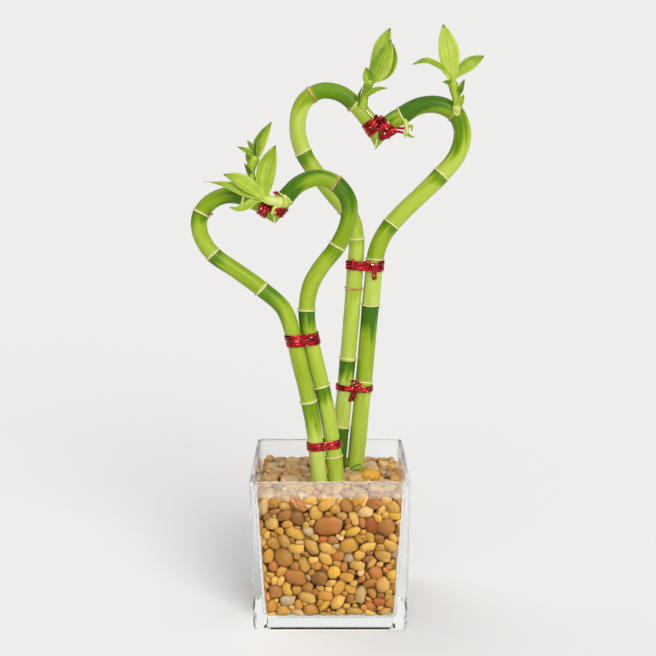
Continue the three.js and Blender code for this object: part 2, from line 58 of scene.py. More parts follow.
# Vase
# A square cube vase of clear pressed glass with a thick base, thick walls and a fire-polished
# rim. It was pressed in one piece, so its inside is rounded into the floor.
VASE_HEIGHT = 0.0975
VASE_HALF_FOOT = 0.0485
VASE_HALF_TOP = 0.05
VASE_CORNER = 0.0034
FOOT_EDGE = 0.0016
RIM_EDGE = 0.0015
FLOOR_TOP = 0.0066
CAVITY_HALF_FLOOR = 0.0418
CAVITY_HALF_TOP = 0.047
CAVITY_FILLET = 0.003
CORNER_SEGMENTS = 8
FOOT_BAND = 0.0393
FOOT_RECESS = 0.0005
FOOT_DIMPLE = 0.0004
FOOT_DIMPLE_HALF = 0.018
FLOOR_PANEL_HALF = CAVITY_HALF_FLOOR * 0.55
GLASS_SHARP_TURN = math.radians(28)
GLASS_COLOUR = (0.975, 0.99, 0.985, 1)
GLASS_GLINT = (0.15, 0.15, 0.15, 1)
PAINTED_REFLECTION_LOW = 0.086
PAINTED_REFLECTION_FADE = 0.0012
PAINTED_REFLECTION_SHARE = 0.2


def make_active(piece):
    """Leaves only that piece selected, for the next operator to work on."""
    bpy.ops.object.select_all(action="DESELECT")
    piece.select_set(True)
    bpy.context.view_layer.objects.active = piece


def apply_place(piece):
    """Moves a piece's place into its mesh."""
    make_active(piece)
    bpy.ops.object.transform_apply(location=True, rotation=True, scale=True)


def open_whole():
    """Opens the active piece in edit mode with all of it selected."""
    bpy.ops.object.mode_set(mode="EDIT")
    bpy.ops.mesh.select_all(action="SELECT")


def cavity_half(height):
    """Half the width of the vase's inside at a height."""
    share = (height - FLOOR_TOP) / (VASE_HEIGHT - FLOOR_TOP)
    return CAVITY_HALF_FLOOR + (CAVITY_HALF_TOP - CAVITY_HALF_FLOOR) * share


def quarter_round(middle_half, middle_height, radius, start, steps):
    """Points of a quarter turn in the wall's section, from the start angle on, anticlockwise."""
    turns = [start + math.pi / 2 * step / steps for step in range(steps + 1)]
    return [(middle_half + radius * math.cos(a), middle_height + radius * math.sin(a)) for a in turns]


def vase_section():
    """Half width and height along the glass, from the foot up the outside and down the inside."""
    dimple = [
        (FOOT_DIMPLE_HALF * share, FOOT_RECESS + FOOT_DIMPLE * (1 - share * share))
        for share in (0.25, 0.5, 0.75, 1)
    ]
    foot = quarter_round(VASE_HALF_FOOT - FOOT_EDGE, FOOT_EDGE, FOOT_EDGE, -math.pi / 2, 3)
    foot = [*dimple, (FOOT_BAND, FOOT_RECESS), (FOOT_BAND + FOOT_RECESS, 0), *foot]
    lip_height = VASE_HEIGHT - RIM_EDGE
    outer_lip = quarter_round(VASE_HALF_TOP - RIM_EDGE, lip_height, RIM_EDGE, 0, 4)
    inner_lip = quarter_round(CAVITY_HALF_TOP + RIM_EDGE, lip_height, RIM_EDGE, math.pi / 2, 4)
    bottom_middle = FLOOR_TOP + CAVITY_FILLET
    bottom_half = cavity_half(bottom_middle) - CAVITY_FILLET
    bottom = quarter_round(bottom_half, bottom_middle, CAVITY_FILLET, -math.pi / 2, 8)[::-1]
    inner_floor = [(FLOOR_PANEL_HALF, FLOOR_TOP)]
    return foot + outer_lip + inner_lip + bottom + inner_floor


section = vase_section()
first_half, first_height = section[0]
bpy.ops.mesh.primitive_plane_add(size=2 * first_half, location=(0, 0, first_height))
vase = bpy.context.object
vase.name = "glass_vase"
apply_place(vase)
open_whole()
corner_here = VASE_CORNER * first_half / VASE_HALF_FOOT
bpy.ops.mesh.bevel(offset=corner_here, segments=CORNER_SEGMENTS, affect="VERTICES")
bpy.ops.mesh.select_all(action="SELECT")
half_now, height_now = first_half, first_height
for half, height in section[1:]:
    rise = (0, 0, height - height_now)
    bpy.ops.mesh.extrude_region_move(TRANSFORM_OT_translate={"value": rise})
    bpy.ops.transform.resize(value=(half / half_now, half / half_now, 1))
    half_now, height_now = half, height
bpy.ops.mesh.select_all(action="SELECT")
bpy.ops.mesh.normals_make_consistent(inside=False)
bpy.ops.object.mode_set(mode="OBJECT")
bpy.ops.object.shade_smooth_by_angle(angle=GLASS_SHARP_TURN)


def node(material, kind, settings=None, **inputs):
    """Adds a shader node, sets what it is given, and joins what it is fed from."""
    made = material.node_tree.nodes.new(kind)
    for name, value in (settings or {}).items():
        setattr(made, name, value)
    for name, value in inputs.items():
        key = int(name[1:]) if name[0] == "_" else name.replace("_", " ")
        if isinstance(value, bpy.types.NodeSocket):
            material.node_tree.links.new(value, made.inputs[key])
        else:
            made.inputs[key].default_value = value
    return made


def maths(material, how, first, second=0.0, third=0.0):
    return node(material, "ShaderNodeMath", {"operation": how}, _0=first, _1=second, _2=third).outputs[0]


def added(material, first, second):
    return maths(material, "ADD", first, second)


def between(material, value, low, high, start=0.0, finish=1.0, easing="LINEAR"):
    """Start where a value is low, finish where it is high, and even in between."""
    made = node(
        material, "ShaderNodeMapRange", {"interpolation_type": easing},
        Value=value, From_Min=low, From_Max=high, To_Min=start, To_Max=finish,
    )
    return made.outputs["Result"]


def smooth_between(material, value, low, high, start=0.0, finish=1.0):
    return between(material, value, low, high, start, finish, "SMOOTHSTEP")


def parts_of(material, vector):
    return node(material, "ShaderNodeSeparateXYZ", Vector=vector).outputs


def own_place(material):
    return node(material, "ShaderNodeTexCoord").outputs["Object"]


def new_material(name, **settings):
    """A material and its main shader, with the values that are the same all over it."""
    made = bpy.data.materials.new(name)
    made.use_nodes = True
    shader = made.node_tree.nodes["Principled BSDF"]
    for setting, value in settings.items():
        shader.inputs[setting.replace("_", " ")].default_value = value
    return made, shader


def feed(material, shader, **sockets):
    for name, socket in sockets.items():
        material.node_tree.links.new(socket, shader.inputs[name.replace("_", " ")])


glass, glass_shader = new_material(
    "clear pressed glass", Base_Color=GLASS_COLOUR, Specular_Tint=GLASS_GLINT, Roughness=0.0, IOR=1.5
)
# Painted reflection: on the inside of the walls above the wet stones the glass lets a little less through
# and shows a faint milky white
glass_x, glass_y, glass_z = parts_of(glass, own_place(glass))
glass_out = maths(glass, "MAXIMUM", maths(glass, "ABSOLUTE", glass_x), maths(glass, "ABSOLUTE", glass_y))
reflection_inside = maths(glass, "LESS_THAN", glass_out, CAVITY_HALF_TOP + RIM_EDGE / 2)
reflection_above = smooth_between(glass, glass_z, PAINTED_REFLECTION_LOW, PAINTED_REFLECTION_LOW + PAINTED_REFLECTION_FADE, 0, PAINTED_REFLECTION_SHARE)
reflection_below = maths(glass, "LESS_THAN", glass_z, VASE_HEIGHT - RIM_EDGE)
painted_reflection = maths(glass, "MULTIPLY", reflection_inside, maths(glass, "MULTIPLY", reflection_above, reflection_below))
feed(glass, glass_shader, Transmission_Weight=maths(glass, "SUBTRACT", 1.0, painted_reflection))
vase.data.materials.append(glass)
vase.visible_shadow = False
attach(vase, "root")
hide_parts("vase")

# Pebbles
# River pebbles of 5 to 20 mm, ochre, tan and brown with a few cream and grey ones, poured in
# round the canes. Those against the glass and on top are each fitted between their neighbours.
PEBBLE_SEED = 11
PEBBLE_SIDES = 14
PEBBLE_RINGS = 6
PEBBLE_TOP = 0.0858
STONES_FILL = 0.93
MORE_SMALL_ONES = 1.9
TRIED_PLACES = 40
NEAR_STONES = 30
FREE_REACH = 1.0
SETTLE_ROUNDS = 10
SETTLE_SHARE = 0.9
LONGEST_STRETCH = 2.9
SLANT_SPREAD = 0.75
LEAST_STONE = 0.0013
LEAST_THICK = 0.003
MOST_THICK_AT_WALL = 0.007
MOST_THICK_LEVEL = 0.0075
LEAST_ANGULAR = 0.4
LEAST_REACH = 0.0002
MOST_DRAWN_OUT = 1.6
BLUNTNESS = (0.42, 0.7)
TUMBLE = 0.24
STONE_TONES = 0.97
SHADE_UNDERNEATH = 0.54
SURFACE_SHADE = 0.3
WALL_CLEAR = 0.0003
WALL_LOW = 0.0006
UNEVEN_WALL = 0.0006
UNEVEN_LEVEL = 0.0009
SECOND_LAYER = 0.0042
SECOND_LEVEL = 0.0045
SECOND_LAYER_PAINTED_SHADE = 1.2
SOFT_CORNER = 0.014
STONE_CORNER = 0.0033
REFERENCE_HALF = 0.0435
STONE_GROWTH = 1.1
DRY_STONE = 1.3
SURFACE_DEPTH = 0.0035
BED_CORE_DEPTH = 0.0046
CANES_AT_SURFACE = {
    (-0.006, -0.0185): 0.0058, (0.005, -0.016): 0.006,
    (0.005, 0.0215): 0.0062, (0.0169, 0.0225): 0.0066,
}
BIG_STONES = [
    # along the front wall, height, half width, half height, slant, tone
    (-0.0009, 0.067, 0.0102, 0.0066, 0.2, 0.56),
    (0.0345, 0.0665, 0.0064, 0.0062, 0, 0.24),
    (0.0117, 0.054, 0.0062, 0.0052, 0, 0.4),
    (-0.0288, 0.0463, 0.0066, 0.006, -0.3, 0.32),
    (-0.0216, 0.033, 0.0078, 0.0052, -0.4, 0.63),
    (0.0244, 0.068, 0.0034, 0.0056, 0.15, 0.76),
    (0.0212, 0.0765, 0.0062, 0.0035, 0.2, 0.03),
    (-0.0065, 0.0325, 0.006, 0.005, 0.3, 0.2),
    (0.0026, 0.0365, 0.0048, 0.0042, 0.5, 0.89),
    (0.0106, 0.0335, 0.0078, 0.0029, 0, 0.42),
    (0.033, 0.0475, 0.0068, 0.004, -0.2, 0.12),
    (0.0291, 0.0365, 0.006, 0.0046, -0.6, 0.58),
    (-0.0355, 0.069, 0.0058, 0.0042, 0.1, 0.14),
    (0.0342, 0.028, 0.0055, 0.005, 0.6, 0.12),
]
TOP_STONE = {"place": (0.0263, 0.001, 0.0862), "half": (0.0072, 0.0056, 0.0042), "turn": 0.2, "tone": 0.9}
draw = random.Random(PEBBLE_SEED)


def stone_sizes(area, small, large):
    """Half widths of stones that fill an area: many small ones, fewer large ones."""
    sizes = []
    while sum(math.pi * size * size for size in sizes) < area * STONES_FILL:
        sizes.append(small + (large - small) * draw.random() ** MORE_SMALL_ONES)
    return sorted(sizes, reverse=True)


def spread(sizes, place, fixed, wrap):
    """Puts each stone, largest first, at the roomiest of some drawn places."""
    middles = [middle for middle, size in fixed]
    taken = [size for middle, size in fixed]
    for size in sizes:
        tries = np.array([place() for number in range(TRIED_PLACES)])
        if middles:
            apart = tries[:, None] - np.array(middles)[None]
            if wrap:
                apart[..., 0] -= wrap * np.round(apart[..., 0] / wrap)
            room = (np.hypot(apart[..., 0], apart[..., 1]) - np.array(taken)[None]).min(1)
        else:
            room = np.zeros(len(tries))
        middles.append(tuple(tries[room.argmax()]))
        taken.append(size)
    return np.array(middles), np.array(taken)


def stone_reach(middles, sizes, grips, wrap, edges):
    """How far each stone reaches each way before it meets a neighbour or an edge."""
    count = len(middles)
    shifts = (-wrap, 0, wrap) if wrap else (0,)
    others = np.concatenate([middles + (shift, 0) for shift in shifts])
    number = np.tile(np.arange(count), len(shifts))
    apart = others[None] - middles[:, None]
    distance = (apart**2).sum(2)
    distance[distance < 1e-12] = 1e9
    near = np.argpartition(distance, NEAR_STONES, axis=1)[:, :NEAR_STONES]
    gap = np.take_along_axis(apart, near[..., None], 1)
    grip = grips[number[near]]
    angles = np.arange(PEBBLE_SIDES) * 2 * math.pi / PEBBLE_SIDES
    ways = np.stack([np.cos(angles), np.sin(angles)], 1)
    own = np.einsum("ka,nab,kb->nk", ways, grips, ways)[:, None]
    theirs = np.einsum("ka,nmab,kb->nmk", ways, grip, ways)
    cross = np.einsum("ka,nmab,nmb->nmk", ways, grip, gap)
    away = np.einsum("nma,nmab,nmb->nm", gap, grip, gap)[..., None]
    lead = (sizes[number[near]] ** 2 - sizes[:, None] ** 2)[..., None] - away
    under = cross**2 - (own - theirs) * lead
    below = cross + np.sqrt(np.maximum(under, 0))
    free = (under < 0) | (below < 1e-9)
    reach = np.where(free, FREE_REACH, -lead / np.maximum(below, 1e-9)).min(1)
    low, high = edges
    for axis in (1,) if wrap else (0, 1):
        way = ways[None, :, axis]
        room = np.where(way > 0, high[axis], low[axis]) - middles[:, None, axis]
        to_edge = room / np.where(way == 0, 1, way)
        reach = np.minimum(reach, np.where(np.abs(way) > 1e-6, to_edge, FREE_REACH))
    return np.maximum(reach, 0), ways


def settle(middles, sizes, grips, loose, wrap, edges):
    """Moves every loose stone to the middle of its own room, again and again."""
    for step in range(SETTLE_ROUNDS):
        reach, ways = stone_reach(middles, sizes, grips, wrap, edges)
        tips = reach[..., None] * ways[None]
        after = np.roll(tips, -1, axis=1)
        share = reach * np.roll(reach, -1, axis=1)
        whole = np.maximum(share.sum(1), 1e-12)[:, None]
        drift = ((tips + after) / 3 * share[..., None]).sum(1) / whole
        middles = middles + np.where(loose[:, None], drift * SETTLE_SHARE, 0)
    return middles, stone_reach(middles, sizes, grips, wrap, edges)[0]


def grip_of(stretch, slant):
    """How a stone holds its room: longer by stretch along its slant."""
    turn = np.array([[math.cos(slant), -math.sin(slant)], [math.sin(slant), math.cos(slant)]])
    return turn @ np.diag([1 / stretch, stretch]) @ turn.T


def fitted_stones(area, small, large, place, wrap, edges, fixed=(), skipped=0):
    """Stones fitted to each other in a flat layer: middle, reach each way, and tone of each."""
    held = [((x, y), size) for x, y, size, grip, tone in fixed]
    middles, sizes = spread(stone_sizes(area, small, large), place, held, wrap)
    grips = []
    tones = []
    for number in range(len(middles)):
        if number < len(fixed):
            grips.append(fixed[number][3])
            tones.append(fixed[number][4])
        else:
            grips.append(grip_of(draw.uniform(1, LONGEST_STRETCH), draw.gauss(0, SLANT_SPREAD)))
            tones.append(draw.random() * STONE_TONES)
    loose = np.arange(len(middles)) >= len(fixed)
    middles, reach = settle(middles, sizes, np.array(grips), loose, wrap, edges)
    layer = []
    for number in range(skipped, len(middles)):
        outline = reach[number]
        rounded = (np.roll(outline, 1) + outline * 2 + np.roll(outline, -1)) / 4
        angular = draw.uniform(LEAST_ANGULAR, 1)
        outline = (np.minimum(outline, rounded) * angular + rounded * (1 - angular)) * STONE_GROWTH
        outline = np.clip(outline, LEAST_REACH, MOST_DRAWN_OUT * outline.mean())
        if outline.mean() > LEAST_STONE:
            layer.append((middles[number], outline, tones[number]))
    return layer


def wall_spot(along, up):
    """A point on the inside of the glass, and the way in from it, for places along and up it."""
    straight = REFERENCE_HALF - STONE_CORNER
    side_length = 2 * straight + math.pi / 2 * STONE_CORNER
    along = np.mod(along + straight, 4 * side_length)
    side = np.floor(along / side_length)
    offset = along - side * side_length - straight
    past = np.maximum(offset - straight, 0) / STONE_CORNER
    x = np.minimum(offset, straight) + STONE_CORNER * np.sin(past)
    y = -straight - STONE_CORNER * np.cos(past)
    turn = side * math.pi / 2
    flat_x = x * np.cos(turn) - y * np.sin(turn)
    flat_y = x * np.sin(turn) + y * np.cos(turn)
    bend = math.pi / 2 * CAVITY_FILLET
    angle = np.clip(up, 0, bend) / CAVITY_FILLET
    height = FLOOR_TOP + CAVITY_FILLET - CAVITY_FILLET * np.cos(angle) + np.maximum(up - bend, 0)
    half = cavity_half(height) - CAVITY_FILLET * (1 - np.sin(angle))
    wide = half / REFERENCE_HALF
    spot = np.stack([flat_x * wide, flat_y * wide, height], -1)
    core = np.clip(spot[..., :2], -(half - SOFT_CORNER)[..., None], (half - SOFT_CORNER)[..., None])
    out = spot[..., :2] - core
    out = out / np.maximum(np.linalg.norm(out, axis=-1, keepdims=True), 1e-9)
    inward = np.concatenate([-out * np.sin(angle)[..., None], np.cos(angle)[..., None]], -1)
    return spot, inward


def inside_glass(points):
    """The points, with those that lie in the glass moved back to just inside it."""
    height = np.maximum(points[:, 2], FLOOR_TOP + WALL_CLEAR)
    dip = np.clip(FLOOR_TOP + CAVITY_FILLET - height, 0, CAVITY_FILLET)
    half = cavity_half(height) - CAVITY_FILLET + np.sqrt(CAVITY_FILLET**2 - dip**2) - WALL_CLEAR
    core = np.clip(points[:, :2], -(half - STONE_CORNER)[:, None], (half - STONE_CORNER)[:, None])
    out = points[:, :2] - core
    far = np.linalg.norm(out, axis=1, keepdims=True)
    flat = core + out * np.minimum(1, STONE_CORNER / np.maximum(far, 1e-9))
    return np.concatenate([flat, height[:, None]], 1)


def mesh_points(piece):
    points = np.zeros(len(piece.data.vertices) * 3)
    piece.data.vertices.foreach_get("co", points)
    return points.reshape(-1, 3)


def set_points(piece, points):
    piece.data.vertices.foreach_set("co", np.asarray(points).ravel())


def mark_points(piece, name, values):
    """Writes a value of three numbers at each point of a piece, for its material to read."""
    attribute = piece.data.attributes.new(name, "FLOAT_VECTOR", "POINT")
    attribute.data.foreach_set("vector", np.asarray(values, float).ravel())


def copied(piece):
    """A copy of a piece, with its own mesh."""
    made = piece.copy()
    made.data = piece.data.copy()
    bpy.context.collection.objects.link(made)
    return made


def joined(parts):
    """Joins parts into the first of them."""
    make_active(parts[0])
    for part in parts:
        part.select_set(True)
    bpy.ops.object.join()
    return parts[0]


def coat(piece, finish):
    """Gives a piece one finish all over."""
    piece.data.materials.clear()
    piece.data.materials.append(finish)


bpy.ops.object.select_all(action="DESELECT")
bpy.ops.mesh.primitive_uv_sphere_add(segments=PEBBLE_SIDES, ring_count=PEBBLE_RINGS, radius=1)
master_pebble = bpy.context.object
open_whole()
bpy.ops.transform.vertex_random(offset=0.03, uniform=0.4, normal=0.6, seed=PEBBLE_SEED)
bpy.ops.object.mode_set(mode="OBJECT")
bpy.ops.object.shade_smooth()
master_points = mesh_points(master_pebble)
master_out = np.hypot(master_points[:, 0], master_points[:, 1])
master_side = np.arctan2(master_points[:, 1], master_points[:, 0]) / (2 * math.pi / PEBBLE_SIDES)
master_step = np.round(master_side).astype(int) % PEBBLE_SIDES
stones = []


def tumbled(outline, thick):
    """A pebble in its own room: across, up and depth of each of its points."""
    full = np.minimum(master_out, 1) ** draw.uniform(*BLUNTNESS) * outline[master_step]
    angle = master_step * 2 * math.pi / PEBBLE_SIDES
    shape = np.stack([full * np.cos(angle), full * np.sin(angle), master_points[:, 2] * thick / 2], 1)
    lean = Matrix.Rotation(draw.gauss(0, TUMBLE), 3, "X") @ Matrix.Rotation(draw.gauss(0, TUMBLE), 3, "Y")
    return shape @ np.array(lean).T


def thickness(outline, most):
    return min(max(outline.mean() * 1.25, LEAST_THICK), most)


def lay_stone(points, tone, hidden_way, painted_shade_and_dryness=0.0):
    """Adds a stone, marked with its tone, its shade and how far round its hidden side a point lies, which
    its material paints as shade.
    """
    stone = copied(master_pebble)
    set_points(stone, inside_glass(points))
    hidden = 0.5 + 0.5 * hidden_way * master_points[:, 2]
    if hidden_way < 0:
        hidden *= SHADE_UNDERNEATH
    # What reaches up out of the bed is in the light
    hidden *= np.clip((PEBBLE_TOP - points[:, 2]) / SURFACE_DEPTH, SURFACE_SHADE, 1)
    shade = draw.random() - painted_shade_and_dryness
    mark_points(stone, "stone", np.column_stack([np.tile([tone, shade], (len(points), 1)), hidden]))
    stones.append(stone)


def lay_wall(small, large, deep, painted_shade_and_dryness, fixed=()):
    """A layer of stones round the inside of the glass, so far in from it."""
    around = 4 * (2 * (REFERENCE_HALF - STONE_CORNER) + math.pi / 2 * STONE_CORNER)
    top = PEBBLE_TOP - deep - FLOOR_TOP - CAVITY_FILLET + math.pi / 2 * CAVITY_FILLET
    layer = fitted_stones(
        around * (top - WALL_LOW), small, large,
        lambda: (draw.uniform(0, around), draw.uniform(WALL_LOW, top)),
        around, ((0, WALL_LOW), (0, top)), fixed,
    )
    for middle, outline, tone in layer:
        thick = thickness(outline, MOST_THICK_AT_WALL)
        shape = tumbled(outline, thick)
        spot, inward = wall_spot(middle[0] + shape[:, 0], middle[1] + shape[:, 1])
        depth = deep + WALL_CLEAR + thick / 2 + abs(draw.gauss(0, UNEVEN_WALL)) + shape[:, 2]
        lay_stone(spot + inward * depth[:, None], tone, 1, painted_shade_and_dryness)


def lay_level(small, large, height, wide, up):
    """A level layer of stones, fitted round the canes where it faces up."""
    canes = [(x, y, size, np.eye(2), 0) for (x, y), size in CANES_AT_SURFACE.items() if up > 0]
    layer = fitted_stones(
        4 * wide * wide, small, large,
        lambda: (draw.uniform(-wide, wide), draw.uniform(-wide, wide)),
        0, ((-wide, -wide), (wide, wide)), canes, len(canes),
    )
    for middle, outline, tone in layer:
        thick = thickness(outline, MOST_THICK_LEVEL)
        shape = tumbled(outline, thick)
        level = height + up * (draw.gauss(0, UNEVEN_LEVEL) - thick / 2) + shape[:, 2]
        points = np.column_stack([middle[0] + shape[:, 0], middle[1] + shape[:, 1], level])
        # Facing up, a layer is dry and pale; facing down onto the vase's floor, it is darker, as painted
        # shade
        lay_stone(points, tone, -up, -DRY_STONE * up)


wall_up = math.pi / 2 * CAVITY_FILLET - FLOOR_TOP - CAVITY_FILLET
big_stones = [
    (x, z + wall_up, math.sqrt(wide * tall), grip_of(wide / tall, slant), tone)
    for x, z, wide, tall, slant, tone in BIG_STONES
]
lay_wall(small=0.0018, large=0.0058, deep=0, painted_shade_and_dryness=0, fixed=big_stones)
# The second layer, seen only in the gaps, is darker: painted shade
lay_wall(small=0.0042, large=0.0078, deep=SECOND_LAYER, painted_shade_and_dryness=SECOND_LAYER_PAINTED_SHADE)
lay_level(small=0.0022, large=0.0064, height=PEBBLE_TOP, wide=0.0435, up=1)
lay_level(small=0.0042, large=0.0078, height=PEBBLE_TOP - SECOND_LEVEL, wide=0.042, up=1)
lay_level(small=0.0034, large=0.0075, height=FLOOR_TOP + WALL_CLEAR, wide=0.0375, up=-1)
turn = Matrix.Rotation(TOP_STONE["turn"], 3, "Z") @ Matrix.Diagonal(TOP_STONE["half"])
lay_stone(master_points @ np.array(turn).T + TOP_STONE["place"], TOP_STONE["tone"], -1)

# Painted shade: a dark brown block stands for the smaller stones and grit behind the outer ones, which show
# only as dark brown in the gaps
core_low = FLOOR_TOP + BED_CORE_DEPTH
core_high = PEBBLE_TOP - BED_CORE_DEPTH
bpy.ops.mesh.primitive_cube_add(size=1, location=(0, 0, (core_low + core_high) / 2))
bed_core = bpy.context.object
core_side = 2 * (cavity_half(core_low) - BED_CORE_DEPTH)
bed_core.scale = (core_side, core_side, core_high - core_low)
apply_place(bed_core)
open_whole()
bpy.ops.mesh.bevel(offset=CAVITY_FILLET, segments=4)
bpy.ops.object.mode_set(mode="OBJECT")
mark_points(bed_core, "stone", np.tile([1.0, 0.5, 0.5], (len(bed_core.data.vertices), 1)))
bpy.data.objects.remove(master_pebble)
pebbles = joined([*stones, bed_core])
pebbles.name = "river_pebbles"


def ramp(material, factor, stops, smooth="LINEAR"):
    """A run of colours, each at its place between 0 and 1."""
    made = node(material, "ShaderNodeValToRGB", Fac=factor)
    made.color_ramp.interpolation = smooth
    while len(made.color_ramp.elements) < len(stops):
        made.color_ramp.elements.new(1)
    for element, (place, colour) in zip(made.color_ramp.elements, stops):
        element.position = place
        element.color = (*colour, 1)
    return made.outputs["Color"]


def mixed(material, share, first, second, how="MIX"):
    made = node(material, "ShaderNodeMix", {"data_type": "RGBA", "blend_type": how})
    for place, value in ((0, share), (6, first), (7, second)):
        if isinstance(value, bpy.types.NodeSocket):
            material.node_tree.links.new(value, made.inputs[place])
        elif place:
            made.inputs[place].default_value = (*value, 1)
        else:
            made.inputs[place].default_value = value
    return made.outputs[2]


def tinted(material, under, colour, *span):
    """A colour that turns towards another as a value runs from low to high."""
    return mixed(material, between(material, *span), under, colour)


def softly_tinted(material, under, colour, *span):
    return mixed(material, smooth_between(material, *span), under, colour)


def marked(material, name):
    """What mark_points wrote under a name."""
    return node(material, "ShaderNodeAttribute", {"attribute_name": name}).outputs["Vector"]


def noise(material, vector, scale, detail, roughness=0.5):
    made = node(
        material, "ShaderNodeTexNoise", Vector=vector, Scale=scale, Detail=detail, Roughness=roughness
    )
    return made.outputs["Fac"]


def bump(material, height, strength, distance):
    made = node(material, "ShaderNodeBump", Height=height, Strength=strength, Distance=distance)
    return made.outputs["Normal"]


river, river_shader = new_material("river pebble", Specular_IOR_Level=0.2)
stone_tone, stone_shade, painted_seam_shade = parts_of(river, marked(river, "stone"))
river_cloud = noise(river, own_place(river), 260.0, 4.0, 0.6)
river_spots = noise(river, own_place(river), 1500.0, 3.0)
# Ochre, tan, brown, rust and cream by turns, and last, near black, the painted shade of the grit behind
# them
river_colour = ramp(
    river, stone_tone,
    [
        (0.0, (0.6, 0.38, 0.15)), (0.045, (0.42, 0.3, 0.15)), (0.07, (0.6, 0.33, 0.07)),
        (0.17, (0.34, 0.14, 0.025)), (0.27, (0.43, 0.19, 0.024)), (0.37, (0.5, 0.23, 0.03)),
        (0.47, (0.57, 0.29, 0.045)), (0.54, (0.48, 0.17, 0.032)), (0.61, (0.37, 0.14, 0.025)),
        (0.67, (0.5, 0.24, 0.036)), (0.75, (0.36, 0.085, 0.015)), (0.77, (0.58, 0.32, 0.06)),
        (0.87, (0.62, 0.34, 0.035)), (0.93, (0.22, 0.09, 0.02)), (0.98, (0.03, 0.012, 0.003)),
    ],
    "CONSTANT",
)
# Each stone's own lightness drawn at random, lowered as painted shade on the second wall layer and the
# floor layer, and lifted on the dry top
river_light = between(river, stone_shade, -1, 1, 0.34, 1.22)
river_grey = node(river, "ShaderNodeCombineColor", Red=river_light, Green=river_light, Blue=river_light)
river_colour = mixed(river, 1.0, river_colour, river_grey.outputs["Color"], "MULTIPLY")
river_colour = tinted(river, river_colour, (0.3, 0.12, 0.02), river_cloud, 0.45, 0.75, 0, 0.3)
river_colour = tinted(river, river_colour, (0.62, 0.4, 0.14), river_spots, 0.58, 0.75, 0, 0.25)
# The stones on top are dry and pale
river_colour = tinted(river, river_colour, (0.7, 0.52, 0.3), stone_shade, 1.0, 1 + DRY_STONE, 0, 0.75)
# Painted shade: every stone is dark brown where it turns away under its neighbours, into the seams
river_colour = softly_tinted(river, river_colour, (0.08, 0.027, 0.003), painted_seam_shade, 0.27, 0.54, 0, 0.93)
feed(
    river, river_shader, Base_Color=river_colour,
    Roughness=between(river, river_cloud, 0.3, 0.7, 0.28, 0.5),
    Normal=bump(river, river_spots, 0.25, 0.0004),
)
coat(pebbles, river)
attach(pebbles, "root")
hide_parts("pebbles")

# Canes
# Four living stems, 10 to 11 mm thick, grown straight and trained into arches. Each has a pale
# raised scar at every node, is dark green under a node and fades to yellow-green down to the next.
CANE_SIDES = 28
CANE_STEP = 0.0016
CANE_SHARP_TURN = math.radians(40)
SCAR_THICK = 0.00052
SWELL_UNDER_RING = 0.055
SWELL_FADE = 0.0028
WAIST_OVER_RING = 0.015
WAIST_FADE = 0.002
SEAM_GAP = 0.00015
SEAM_NEAR = 0.055
RING_FADE = 2.2
MM = 0.001
